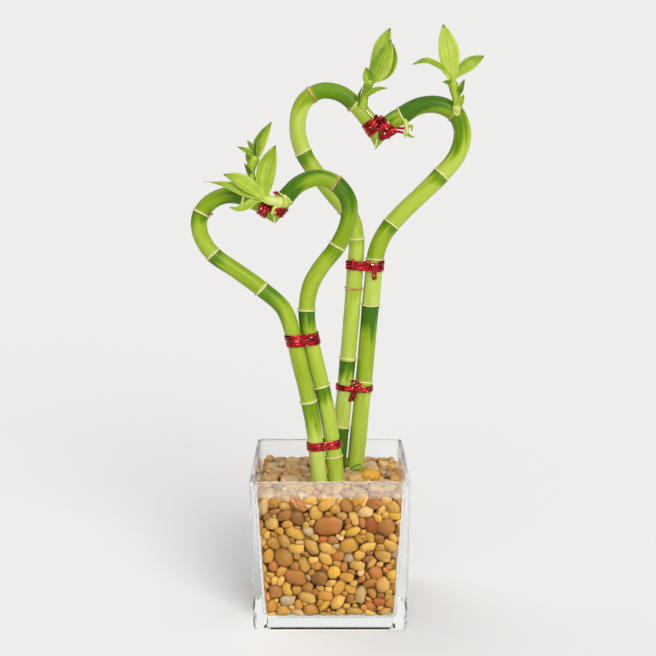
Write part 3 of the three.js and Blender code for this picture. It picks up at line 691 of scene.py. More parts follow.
# Routes and rings are in millimetres. The tones of a cane's stretches go from its foot up: how deep
# its green is, how much deeper it gets under its upper ring, how far down that reaches as a share of
# the stretch, and to which side it leans
CANES = {
    "cane_front_left": {
        "radius": 0.00495,
        "route": [
            (2, -15.5, 14), (-6, -18.5, 84), (-11, -21, 129), (-19.2, -22.5, 168), (-23.2, -23.2, 186),
            (-29, -23.6, 201.5), (-42, -23.8, 213.5), (-57.5, -24, 225), (-72, -24.2, 235.5),
            (-79, -24.3, 247), (-79.5, -24.4, 257.5), (-74, -24.5, 266), (-64.5, -24.6, 271),
            (-53.5, -24.6, 270.7), (-47.5, -24.5, 268.3), (-41, -24.4, 264.8), (-34.5, -24.3, 260.5),
            (-26, -24.2, 255),
        ],
        "rings": [129, 209, 245.5, 273.5, 303],
        "tones": [
            (0.1, 0.6, 0.2, 0), (0.42, 0.42, 0.35, 0.4), (0.5, 0.45, 0.35, 0.3), (0.42, 0.4, 0.35, 0.5),
            (0.6, 0.35, 0.6, 0), (0.55, 0.2, 0.4, 0),
        ],
    },
    "cane_front_right": {
        "radius": 0.0051,
        "route": [
            (14, -13.5, 14), (5, -16, 84), (-0.8, -16.5, 129), (-9.3, -18, 168), (-13.3, -19, 186),
            (-14.5, -20, 200), (-12, -21, 215), (-5.5, -22, 227), (4.5, -23, 240), (10.5, -23.7, 253),
            (11.5, -24.2, 267), (4, -24.6, 278), (-7, -24.8, 282), (-18, -24.8, 278.5),
            (-24.5, -24.6, 272.8), (-28.5, -24.5, 267.8), (-34.2, -24.4, 261), (-40.5, -24.3, 253.5),
        ],
        "rings": [91, 138, 188.5, 234, 276.5, 312],
        "browned": [4],
        "tones": [
            (0.1, 0.2, 0.2, 0), (0.26, 0.6, 0.3, 0.3), (0.3, 0.7, 0.38, 0.3), (0.42, 0.3, 0.3, 0),
            (0.62, 0.4, 0.7, 0.4), (0.55, 0.45, 0.7, -0.8), (0.45, 0.1, 0.3, 0),
        ],
    },
    "cane_back_left": {
        "radius": 0.00525,
        "route": [
            (-1, 20, 14), (5, 21.5, 84), (10, 22.5, 139), (13.2, 23.4, 175), (16.5, 24.5, 220),
            (17.2, 25, 238), (14, 25.3, 252.5), (3.5, 25.6, 266), (-8, 26, 280.5), (-17, 26.2, 294.5),
            (-20.8, 26.5, 310), (-17, 26.8, 326), (-6, 27, 333.5), (6.5, 27, 332), (16, 26.8, 325),
            (23.3, 26.6, 317), (27.5, 26.4, 311.5), (31, 26.3, 305.5), (36, 26.3, 296),
        ],
        "rings": [100, 146.5, 193.5, 226, 248, 292.5, 332.5, 363],
        "browned": [2, 6],
        "tones": [
            # The first stretch's deep green, near the stones, is partly the cane's own and partly painted
            # shade
            (0.6, 0.4, 0.9, 0), (0.15, 0.85, 0.42, 0), (0.22, 0.1, 0.2, 0), (0.25, 0.2, 0.25, 0),
            (0.35, 0.4, 0.35, 0), (0.35, 0.45, 0.3, 0.4), (0.15, 0.4, 0.45, 0.8), (0.72, 0.2, 0.5, -0.7),
            (0.35, 0.05, 0.2, 0),
        ],
    },
    "cane_back_right": {
        "radius": 0.0056,
        "route": [
            (10, 21, 14), (16.9, 22.5, 84), (23.2, 24, 152), (27.7, 24.8, 206), (30.5, 25, 230.5),
            (36, 25.2, 243), (46, 25.4, 255), (59, 25.7, 267.5), (72, 25.9, 280.5), (82, 26.2, 293),
            (85.2, 26.5, 307), (81, 26.7, 318.5), (70, 26.8, 324.7), (57, 26.8, 324), (46, 26.7, 318),
            (40.5, 26.6, 314.8), (35.5, 26.5, 311), (30.5, 26.3, 306), (24, 26.3, 299),
        ],
        "rings": [69.5, 130.5, 182.5, 212.5, 238, 283.5, 327.5, 365],
        "browned": [6],
        "tones": [
            # Painted shade: the first stretch, down among the stones, is the darkest green
            (1.0, 0, 0, 0), (0.25, 0.3, 0.2, 0), (0.45, 0.6, 0.5, 0.2), (0.16, 0.1, 0.15, 0),
            (0.5, 0.3, 0.35, 0.3), (0.3, 0.5, 0.25, 0.3), (0.2, 0.62, 0.6, 0.8), (0.6, 0.55, 0.95, -0.9),
            (0.45, 0.6, 1.3, -0.7),
        ],
    },
}
# Where two canes meet end to end: across and height of the seam's foot and of its fork
SEAMS = [
    ("cane_front_left", "cane_front_right", (-33.3, 254.1), (-35.2, 267.5)),
    ("cane_back_left", "cane_back_right", (29.1, 296.9), (32.5, 315.3)),
]


def smooth_route(points, per_span=14):
    """A smooth line in metres through points that are given in millimetres."""
    route = [Vector(point) * MM for point in points]
    route = [2 * route[0] - route[1], *route, 2 * route[-1] - route[-2]]
    line = []
    for a, b, c, d in zip(route, route[1:], route[2:], route[3:]):
        before, here, after = ((q - p).length ** 0.5 for p, q in ((a, b), (b, c), (c, d)))
        start = ((b - a) / before - (c - a) / (before + here) + (c - b) / here) * here
        finish = ((c - b) / here - (d - b) / (here + after) + (d - c) / after) * here
        for step in range(per_span):
            t = step / per_span
            bow = (3 * (c - b) - 2 * start - finish) * t**2 + (2 * (b - c) + start + finish) * t**3
            line.append(b + start * t + bow)
    line.append(route[-2])
    return line


def measured(line):
    """How far along the line each of its points lies."""
    far = [0.0]
    for a, b in zip(line, line[1:]):
        far.append(far[-1] + (b - a).length)
    return far


def on_line(line, distance):
    """The point and the heading of a line at a distance along it."""
    far = measured(line)
    last = len(line) - 2
    number = min(max(int(np.searchsorted(far, distance)) - 1, 0), last)
    step = line[number + 1] - line[number]
    share = (distance - far[number]) / step.length
    return line[number] + step * share, step.normalized()


def curve_from(name, line, radii):
    """A curve object of a straight-jointed line, with a thickness share at each point."""
    data = bpy.data.curves.new(name, "CURVE")
    data.dimensions = "3D"
    spline = data.splines.new("POLY")
    spline.points.add(len(line) - 1)
    for spot, point, radius in zip(spline.points, line, radii):
        spot.co = (*point, 1)
        spot.radius = radius
    made = bpy.data.objects.new(name, data)
    bpy.context.collection.objects.link(made)
    return made


def blended(values, far, at):
    """The values at a line's points, blended for places at distances along it."""
    return np.stack([np.interp(at, far, np.array(values)[:, axis]) for axis in range(3)], 1)


def bend_along(piece, line):
    """Bends a piece that stands on the origin so that it follows a line."""
    guide = curve_from("guide", line, [1] * len(line))
    guide.data.twist_mode = "MINIMUM"
    make_active(piece)
    bend = piece.modifiers.new("bend", "CURVE")
    bend.object = guide
    bend.deform_axis = "POS_Z"
    bpy.ops.object.modifier_apply(modifier=bend.name)
    bpy.data.objects.remove(guide)


def upright_tube(name, radius, length, sides, steps):
    """A closed tube of even steps that stands on the origin."""
    step = length / steps
    bpy.ops.object.select_all(action="DESELECT")
    bpy.ops.mesh.primitive_cylinder_add(
        vertices=sides, radius=radius, depth=step, end_fill_type="NOTHING", location=(0, 0, step / 2)
    )
    tube = bpy.context.object
    tube.name = name
    apply_place(tube)
    repeat = tube.modifiers.new("repeat", "ARRAY")
    repeat.count = steps
    repeat.use_relative_offset = False
    repeat.use_constant_offset = True
    repeat.constant_offset_displace = (0, 0, step)
    repeat.use_merge_vertices = True
    repeat.merge_threshold = step / 10
    bpy.ops.object.modifier_apply(modifier=repeat.name)
    bpy.ops.object.mode_set(mode="EDIT")
    bpy.ops.mesh.select_all(action="DESELECT")
    bpy.ops.mesh.select_mode(type="EDGE")
    bpy.ops.mesh.select_non_manifold()
    bpy.ops.mesh.edge_face_add()
    bpy.ops.object.mode_set(mode="OBJECT")
    return tube


def straight_cane(name, radius, length, rings, browned):
    """A cane as it grew, upright on the origin, with a scar at each node."""
    cane = upright_tube(name + "_stem", radius, length, CANE_SIDES, math.ceil(length / CANE_STEP))
    points = mesh_points(cane)
    height = points[:, 2]
    around = np.arctan2(points[:, 1], points[:, 0])
    # A little uneven all along, swollen under each ring and narrower over it
    grow = 1 + 0.012 * np.sin(height * 210 + radius * 9000) + 0.01 * np.sin(2 * around + height * 60)
    for ring in rings:
        above = height - ring
        swollen = SWELL_UNDER_RING * np.exp(above / SWELL_FADE)
        waisted = -WAIST_OVER_RING * np.exp(-above / WAIST_FADE)
        grow += np.where(above < 0, swollen, waisted)
    points[:, :2] *= grow[:, None]
    set_points(cane, points)
    mark_points(cane, "scar", np.zeros_like(points))
    scars = []
    for number, ring in enumerate(rings):
        bpy.ops.mesh.primitive_torus_add(
            location=(0, 0, ring), major_segments=CANE_SIDES, minor_segments=8,
            major_radius=radius * 1.045 + SCAR_THICK * 0.35, minor_radius=SCAR_THICK,
        )
        scar = bpy.context.object
        apply_place(scar)
        wave = mesh_points(scar)
        turn = np.arctan2(wave[:, 1], wave[:, 0])
        slant = draw.uniform(0.0001, 0.0006)
        start = draw.uniform(0, 6)
        wave[:, 2] += slant * np.sin(turn + start) + 0.00012 * np.sin(3 * turn + start)
        wave[:, :2] *= (1 + 0.012 * np.sin(2 * turn + start))[:, None]
        set_points(scar, wave)
        mark_points(scar, "scar", np.tile([1, float(number in browned), 0], (len(wave), 1)))
        scars.append(scar)
    joined([cane, *scars])
    mark_points(cane, "grown", mesh_points(cane))
    bpy.ops.object.shade_smooth_by_angle(angle=CANE_SHARP_TURN)
    return cane


def read_marks(piece, name):
    marks = np.zeros(len(piece.data.vertices) * 3)
    piece.data.attributes[name].data.foreach_get("vector", marks)
    return marks.reshape(-1, 3)


def tone_cane(piece, line, cane):
    """Marks each point with its green, how far it is into the deeper zone, and its nearest ring."""
    far = np.array(measured(line))
    spots = np.array(line)
    headings = np.gradient(spots, axis=0)
    headings /= np.linalg.norm(headings, axis=1, keepdims=True)
    grown = read_marks(piece, "grown")[:, 2]
    middle = blended(spots, far, grown)
    heading = blended(headings, far, grown)
    left = np.stack([-heading[:, 2], np.zeros(len(grown)), heading[:, 0]], 1)
    side = ((mesh_points(piece) - middle) * left).sum(1) / cane["radius"]
    stops = np.array([-20, *cane["rings"], far[-1] / MM + 30]) * MM
    lower = np.clip(np.searchsorted(stops, grown) - 1, 0, len(stops) - 2)
    share = (grown - stops[lower]) / (stops[lower + 1] - stops[lower])
    tones = np.array(cane["tones"])[lower]
    reach = tones[:, 2] * (1 + 0.8 * tones[:, 3] * side)
    above = np.minimum((grown - stops[lower]) / MM, RING_FADE)
    below = np.minimum((stops[lower + 1] - grown) / MM, RING_FADE)
    into = (share - 1) / np.maximum(reach, 0.02)
    mark_points(piece, "growth", np.stack([tones[:, 0], tones[:, 1], into], 1))
    mark_points(piece, "ring", np.stack([above, below, np.zeros(len(grown))], 1))


cane_lines = {}
cane_pieces = {}
for name, cane in CANES.items():
    line = smooth_route(cane["route"])
    cane_lines[name] = line
    length = measured(line)[-1]
    rings = [ring * MM for ring in cane["rings"]]
    made = straight_cane(name, cane["radius"], length, rings, cane.get("browned", []))
    bend_along(made, line)
    tone_cane(made, line, cane)
    cane_pieces[name] = made


def cut_end(piece, line, point, across, keep_left):
    """Cuts the last stretch of a cane on the slant and closes the cut."""
    make_active(piece)
    late = read_marks(piece, "grown")[:, 2] > measured(line)[-1] - SEAM_NEAR
    bpy.ops.object.mode_set(mode="EDIT")
    bpy.ops.mesh.select_mode(type="VERT")
    bpy.ops.mesh.select_all(action="DESELECT")
    bpy.ops.object.mode_set(mode="OBJECT")
    piece.data.vertices.foreach_set("select", late)
    bpy.ops.object.mode_set(mode="EDIT")
    side = -1 if keep_left else 1
    bpy.ops.mesh.bisect(
        plane_co=point + across * side * SEAM_GAP, plane_no=across, use_fill=True,
        clear_outer=keep_left, clear_inner=not keep_left,
    )
    bpy.ops.object.mode_set(mode="OBJECT")


for left, right, (x, z), (fork_x, fork_z) in SEAMS:
    point = Vector((x, 0, z)) * MM
    along_cut = Vector((fork_x - x, 0, fork_z - z)).normalized()
    across = Vector((along_cut.z, 0, -along_cut.x))
    cut_end(cane_pieces[left], cane_lines[left], point, across, True)
    cut_end(cane_pieces[right], cane_lines[right], point, across, False)


def stretched(material, vector, scale):
    return node(material, "ShaderNodeMapping", Vector=vector, Scale=scale).outputs["Vector"]


def times_and_more(material, value, times, more):
    return maths(material, "MULTIPLY_ADD", value, times, more)


skin, skin_shader = new_material("living cane skin", Specular_IOR_Level=0.2)
green_depth, green_gain, green_into = parts_of(skin, marked(skin, "growth"))
above_ring, below_ring = parts_of(skin, marked(skin, "ring"))[:2]
on_scar, scar_browned = parts_of(skin, marked(skin, "scar"))[:2]
fibres = noise(skin, stretched(skin, marked(skin, "grown"), (1.0, 1.0, 0.06)), 1400.0, 3.0)
blotches = noise(skin, stretched(skin, marked(skin, "grown"), (1.0, 1.0, 0.16)), 240.0, 3.0)
# Deep green runs down from each ring in uneven tongues, and its edge is soft
tongues = added(skin, green_into, times_and_more(skin, blotches, 1.6, -0.8))
deeper = maths(skin, "MULTIPLY", smooth_between(skin, tongues, -1.0, -0.2), green_gain)
streaked = times_and_more(skin, fibres, 0.24, -0.12)
patched = times_and_more(skin, blotches, 0.4, -0.2)
skin_shade = added(skin, added(skin, green_depth, added(skin, patched, streaked)), deeper)
skin_colour = ramp(
    skin, skin_shade,
    [
        (0.0, (0.62, 0.73, 0.18)), (0.25, (0.45, 0.57, 0.06)), (0.5, (0.28, 0.41, 0.012)),
        (0.75, (0.14, 0.28, 0.004)), (1.0, (0.055, 0.16, 0.002)),
    ],
)
# Fresh and pale just above a ring, with painted shade just below it
skin_colour = softly_tinted(
    skin, skin_colour, (0.62, 0.68, 0.16), above_ring, RING_FADE * 0.85, 0.2, 0, 0.6
)
skin_colour = softly_tinted(skin, skin_colour, (0.1, 0.14, 0.01), below_ring, 1.3, 0.5, 0, 0.55)
scar_colour = ramp(
    skin, fibres,
    [
        (0.3, (0.56, 0.42, 0.12)), (0.45, (0.85, 0.8, 0.42)),
        (0.6, (0.8, 0.7, 0.36)), (0.72, (0.5, 0.34, 0.12)),
    ],
)
brown_scar = ramp(
    skin, blotches, [(0.35, (0.75, 0.5, 0.2)), (0.5, (0.5, 0.22, 0.06)), (0.65, (0.7, 0.42, 0.16))]
)
scar_colour = mixed(skin, scar_browned, scar_colour, brown_scar)
feed(
    skin, skin_shader, Base_Color=mixed(skin, on_scar, skin_colour, scar_colour),
    Roughness=between(skin, blotches, 0.3, 0.7, 0.24, 0.36), Normal=bump(skin, fibres, 0.12, 0.0003),
)
for name, piece in cane_pieces.items():
    coat(piece, skin)
    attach(piece, "root")
    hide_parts(name)

# Foil ties
# Soft wire covered in red foil and pressed flat, wound by hand round a pair of canes or round a
# cane's end, each turn against the last. Its foil is creased along its length, which catches the light; its
# pale glints and its dark and bright bands are painted reflection.
STRAND_SIDES = 12
STRAND_STEP = 0.0008
STRAND_WIDE = 0.00112
STRAND_DEEP = 0.00042
STRAND_PER_TURN = 17
STRAND_SHARP_TURN = math.radians(50)
TURN_RISE = 0.0022
CREASE_TWIST = 150
CREASE_NOTCHES = 900
PINCHED_END = 0.0012


def winding(canes, turns, rise=TURN_RISE, lean=0.0, over=0.0, loose=0.06, level_share=0.0):
    """A strand wound round one cane or a pair, at distances along them in millimetres."""
    ends = []
    for cane, distance in canes:
        point, heading = on_line(cane_lines[cane], distance * MM)
        ends.append((point, heading, CANES[cane]["radius"]))
    axis = (ends[0][1] + ends[-1][1]).normalized()
    axis = axis.lerp(Vector((0, 0, 1)), level_share).normalized()
    across = Vector((0, 1, 0)).cross(axis)
    if len(ends) == 2:
        point, heading, radius = ends[1]
        point = point - heading * ((point - ends[0][0]).dot(axis) / heading.dot(axis))
        ends[1] = (point, heading, radius)
        across = point - ends[0][0]
    across = (across - axis * across.dot(axis)).normalized()
    back = axis.cross(across)
    start = draw.uniform(0, 6)
    line = []
    outs = []
    for half in range(round(turns * 2)):
        point, heading, radius = ends[-1] if half % 2 else ends[0]
        for share in np.linspace(0, 1, STRAND_PER_TURN):
            turn = (share + 0.5 + half % 2) * math.pi
            out = across * math.cos(turn) + back * math.sin(turn)
            slack = loose * MM * (1 + math.sin(half * 2.1 + share * 2 + start))
            reach = radius * 1.035 + STRAND_DEEP * 1.17 + over + slack
            level = ((half + share) / 2 - turns / 2) * rise + lean * reach * math.cos(turn)
            level += loose * MM * math.sin(half * 1.7 + share * 2.6 + start)
            line.append(point + out * reach + heading * level)
            outs.append(out)
    return foil_strand(line, outs, STRAND_WIDE, STRAND_DEEP)


def foil_strand(line, outs, wide, deep):
    """A closed strand of flattened foil wire along a line, with its creases twisted along it."""
    far = np.array(measured(line))
    steps = math.ceil(far[-1] / STRAND_STEP)
    strand = upright_tube("strand", wide, far[-1], STRAND_SIDES, steps)
    flat = mesh_points(strand)
    along = flat[:, 2]
    around = np.arctan2(flat[:, 1], flat[:, 0])
    out = blended(outs, far, along)
    side = np.cross(blended(np.gradient(np.array(line), axis=0), far, along), out)
    side /= np.linalg.norm(side, axis=1, keepdims=True)
    crease = 1 + 0.07 * np.cos(3 * around + CREASE_TWIST * along)
    crease += 0.03 * np.sin(CREASE_NOTCHES * along + 2 * around)
    pinch = np.minimum(1, 0.55 + np.minimum(along, far[-1] - along) / PINCHED_END)
    shape = side * (wide * crease * pinch * np.cos(around))[:, None]
    shape += out * (deep * crease * pinch * np.sin(around))[:, None]
    set_points(strand, blended(line, far, along) + shape)
    mark_points(strand, "foil", np.stack([along / MM, around, np.full(len(along), draw.random() * 50)], 1))
    return strand


def free_strand(route, wide=0.75, deep=0.8):
    """A loose end or a knot's strand, laid through its points with its flat side forward."""
    line = smooth_route(route, 8)
    outs = [Vector((0, -1, 0))] * len(line)
    return foil_strand(line, outs, STRAND_WIDE * wide, STRAND_DEEP * deep)


foil, foil_shader = new_material(
    "red foil", Metallic=1.0, Coat_Weight=0.35, Coat_Roughness=0.1, Coat_IOR=1.6
)
creases_and_painted_reflections = noise(foil, stretched(foil, marked(foil, "foil"), (0.1, 0.55, 1.0)), 2.0, 2.0)
dents_and_painted_glints = noise(foil, stretched(foil, marked(foil, "foil"), (0.35, 0.5, 1.0)), 1.2, 1.0)
# Painted reflection: across its creases the foil runs from near black to bright red, for the dark and
# bright surroundings it mirrors
foil_colour = ramp(
    foil, creases_and_painted_reflections,
    [
        (0.3, (0.08, 0.0, 0.002)), (0.45, (0.26, 0.0, 0.003)), (0.53, (0.46, 0.001, 0.006)),
        (0.6, (0.68, 0.004, 0.01)), (0.72, (0.88, 0.05, 0.045)),
    ],
)
# Painted highlight: here and there a flat bit of the foil is tinted pale, as the window glints in it
foil_colour = softly_tinted(foil, foil_colour, (1.0, 0.82, 0.74), dents_and_painted_glints, 0.66, 0.72, 0, 0.9)
feed(
    foil, foil_shader, Base_Color=foil_colour,
    Roughness=between(foil, dents_and_painted_glints, 0.3, 0.7, 0.22, 0.12),
    Normal=bump(foil, creases_and_painted_reflections, 0.45, 0.0008),
)


def tie_up(name, strands):
    """Joins the strands of a tie, and stands them for the solid of that name."""
    wire = joined(strands)
    wire.name = name + "_wire"
    bpy.ops.object.shade_smooth_by_angle(angle=STRAND_SHARP_TURN)
    coat(wire, foil)
    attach(wire, "root")
    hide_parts(name)


tie_up("tie_front_lower", [
    winding([("cane_front_left", 99.6), ("cane_front_right", 98)], 3, rise=0.0017, level_share=0.8),
])
tie_up("tie_front_upper", [
    winding([("cane_front_left", 169.6), ("cane_front_right", 168)], 4, rise=0.0019, level_share=0.9),
])
tie_up("tie_front_joint", [
    winding([("cane_front_left", 318.3)], 3.5),
    winding([("cane_front_right", 320.4)], 3),
    free_strand([(-30.5, -24.5, 272), (-32.5, -25.5, 273), (-34.5, -26.5, 273)]),
])
# The free strands of the two back ties are their knots and loose ends
tie_up("tie_back_lower", [
    winding([("cane_back_left", 127.3), ("cane_back_right", 125)], 2, rise=0.0018, loose=0.12),
    free_strand([(13.6, 16.1, 143.4), (17, 15.6, 142.5), (20.7, 16.6, 144.1)]),
    free_strand([(13.8, 16.4, 145.7), (17.3, 15.4, 146.1), (20.5, 16.5, 142.8)]),
    free_strand([(17.4, 15.9, 141.7), (15.2, 16, 137.9), (13, 16.9, 131.7)]),
    free_strand([(18.6, 16, 141.7), (16.9, 16.2, 137.6), (14.8, 17.1, 132.1)]),
])
tie_up("tie_back_upper", [
    winding([("cane_back_left", 208.8), ("cane_back_right", 207.5)], 3, rise=0.0019, loose=0.1),
    free_strand([(22.1, 17.7, 225.1), (28.1, 17.2, 222.6), (34.7, 19.7, 219.4)]),
    free_strand([(25.1, 17.7, 220), (29.6, 16.7, 222.7), (35.4, 20.3, 225)]),
    free_strand([(15.1, 19.2, 226.6), (15, 18.1, 224.6), (15.1, 18, 222), (15.3, 18.4, 219.2)]),
    free_strand([(28.4, 17, 221.7), (28.3, 17.5, 217.1), (28.7, 18.4, 212.8)]),
    free_strand([(29.7, 17, 221.7), (29.6, 17.5, 217), (29.8, 18.4, 213.2)]),
])
# The last strand of the back joint is a wide ribbon of foil that bridges to its loose ends
tie_up("tie_back_joint", [
    winding([("cane_back_left", 380.8)], 4, loose=0.1),
    winding([("cane_back_right", 378)], 4, rise=0.002),
    winding([("cane_back_right", 378)], 3, lean=-0.1, over=0.0009, loose=0.1),
    free_strand([(39.6, 18.4, 309.8), (43.5, 18.2, 310.4), (47.7, 17.6, 310.2)]),
    free_strand([(39.6, 18.3, 308.2), (43.5, 18.1, 308.2), (47.3, 17.5, 307.4)]),
    free_strand(
        [(31.6, 18.5, 304.2), (34.5, 18.3, 305.5), (38.1, 18.3, 307.3), (41.7, 18.8, 309.1)],
        wide=2.0, deep=1.0,
    ),
])

# Shoots
# Each cane has leafed out near its top: a short green stem wrapped in the feet of its leaves,
# with pointed, strap-like blades that have parallel veins and dry dark tips.
BLADE_THICK = 0.00045
BLADE_ACROSS = 8
BLADE_ALONG = 30
TIP_WIDTH = 0.16
CLASP_LENGTH = 0.22
STEM_SIDES_STEP = 2

bpy.ops.object.select_all(action="DESELECT")
bpy.ops.mesh.primitive_grid_add(x_subdivisions=BLADE_ACROSS, y_subdivisions=BLADE_ALONG, size=1)
master_blade = bpy.context.object
master_spots = mesh_points(master_blade)


def leaf_blade(
    route, width, widest=0.4, neck=0.42, taper=0.88, face=(0, -1, 0.25), tone=0.3, lean=0.0,
    cup=0.45, clasp=1.4, wave=0.25, fold=0.22,
):
    """One leaf: a copy of the flat blade, narrowed to its outline, folded and laid along its route.

    Widest is how far along it is broadest and neck its foot's share of that width. It curls by cup
    along its length and by clasp where it holds the stem.
    """
    line = smooth_route(route, 12)
    length = measured(line)[-1]
    facing = Vector(face).normalized()
    side = master_spots[:, 0] * 2
    along = master_spots[:, 1] + 0.5
    rise = neck + (1 - neck) * np.sin(np.minimum(1, along / widest) * math.pi / 2)
    fall = np.cos(np.clip((along - widest) / (1 - widest), 0, 1) * math.pi / 2)
    half = np.maximum(width * rise * np.maximum(fall, 0) ** taper, TIP_WIDTH) / 2 * MM
    curl = cup + (clasp - cup) * np.clip(1 - along / CLASP_LENGTH, 0, 1) ** 1.5
    curl += 0.25 * np.clip(along - 0.8, 0, 1)
    ripple = wave * MM * np.sin(along * 11 + width) * np.abs(side) ** 2 * np.sin(along * math.pi)
    points = []
    for number in range(len(master_spots)):
        point, heading = on_line(line, along[number] * length * 0.9999)
        across = heading.cross(facing).normalized()
        up = across.cross(heading)
        radius = half[number] / curl[number]
        sideways = radius * math.sin(curl[number] * side[number])
        height = radius * (1 - math.cos(curl[number] * side[number])) + ripple[number]
        height += fold * half[number] * abs(side[number]) ** 0.8
        points.append(point + across * sideways + up * height)
    leaf = copied(master_blade)
    set_points(leaf, points)
    # By its lean one half of the blade is darker and the other paler: painted shade and light of the folded
    # halves
    greens = tone - lean * np.sign(side) * np.abs(side) ** 0.5 * np.sin(along * math.pi)
    greens += 0.3 * np.clip((along - 0.55) / 0.45, 0, 1) ** 1.5
    mark_points(leaf, "leaf", np.stack([side, along, np.maximum(greens, min(tone, 0))], 1))
    make_active(leaf)
    body = leaf.modifiers.new("body", "SOLIDIFY")
    body.thickness = BLADE_THICK
    body.offset = 0
    bpy.ops.object.modifier_apply(modifier=body.name)
    bpy.ops.object.shade_smooth()
    return leaf


def shoot_stem(route, girths):
    """A short round stem with the given half thicknesses and tones along its route."""
    line = smooth_route(route, 14)
    places = np.linspace(0, 1, len(girths))
    far = np.array(measured(line))
    radii = np.interp(far / far[-1], places, [radius for radius, tone in girths])
    stem = curve_from("stem", line, radii)
    stem.data.bevel_depth = MM
    stem.data.bevel_resolution = STEM_SIDES_STEP
    stem.data.use_fill_caps = True
    make_active(stem)
    bpy.ops.object.convert(target="MESH")
    stem = bpy.context.object
    bpy.ops.object.shade_smooth()
    spots = mesh_points(stem)
    nearest = ((spots[:, None] - np.array(line)[None]) ** 2).sum(2).argmin(1)
    tones = np.interp(far[nearest] / far[-1], places, [tone for radius, tone in girths])
    out = spots - np.array(line)[nearest]
    round_way = np.arctan2(out[:, 1], out[:, 0])
    mark_points(stem, "leaf", np.stack([0.5 + 0.3 * np.sin(round_way), np.full(len(spots), 0.3), tones], 1))
    return stem


leaf_skin, leaf_shader = new_material(
    "leaf", Specular_IOR_Level=0.4, Subsurface_Weight=0.1, Subsurface_Scale=0.002
)
leaf_mark = marked(leaf_skin, "leaf")
leaf_across, leaf_along, leaf_green = parts_of(leaf_skin, leaf_mark)
veins = noise(leaf_skin, stretched(leaf_skin, leaf_mark, (7.0, 0.7, 3.0)), 1.4, 4.0, 0.7)
patches = noise(leaf_skin, own_place(leaf_skin), 160.0, 2.0)
veined = times_and_more(leaf_skin, veins, 1.5, -0.75)
mottled = times_and_more(leaf_skin, patches, 0.5, -0.25)
leaf_shade = added(leaf_skin, leaf_green, added(leaf_skin, veined, mottled))
leaf_shade = added(leaf_skin, leaf_shade, between(leaf_skin, leaf_along, 0.02, 0.28, -0.25, 0))
leaf_colour = ramp(
    leaf_skin, leaf_shade,
    [
        (0.0, (0.56, 0.68, 0.1)), (0.25, (0.43, 0.57, 0.04)), (0.5, (0.28, 0.43, 0.012)),
        (0.75, (0.15, 0.3, 0.004)), (1.0, (0.055, 0.14, 0.003)),
    ],
)
# Painted shade darkens the fold along the middle, and a painted highlight makes the thin edges paler
from_middle = maths(leaf_skin, "ABSOLUTE", leaf_across)
leaf_colour = softly_tinted(leaf_skin, leaf_colour, (0.09, 0.2, 0.004), from_middle, 0.02, 0.09, 0.45, 0)
leaf_colour = softly_tinted(leaf_skin, leaf_colour, (0.6, 0.7, 0.16), from_middle, 0.88, 0.99, 0, 0.5)
# Tones below nought are pale and dry, and those below minus one are brown husk
leaf_colour = tinted(leaf_skin, leaf_colour, (0.78, 0.8, 0.42), leaf_green, 0.0, -1.0)
leaf_colour = tinted(leaf_skin, leaf_colour, (0.3, 0.12, 0.03), leaf_green, -1.0, -1.8)
leaf_colour = tinted(leaf_skin, leaf_colour, (0.07, 0.1, 0.02), leaf_along, 0.93, 0.985, 0, 0.85)
feed(
    leaf_skin, leaf_shader, Base_Color=leaf_colour,
    Roughness=between(leaf_skin, patches, 0.3, 0.7, 0.28, 0.42), Normal=bump(leaf_skin, veins, 0.5, 0.0004),
)


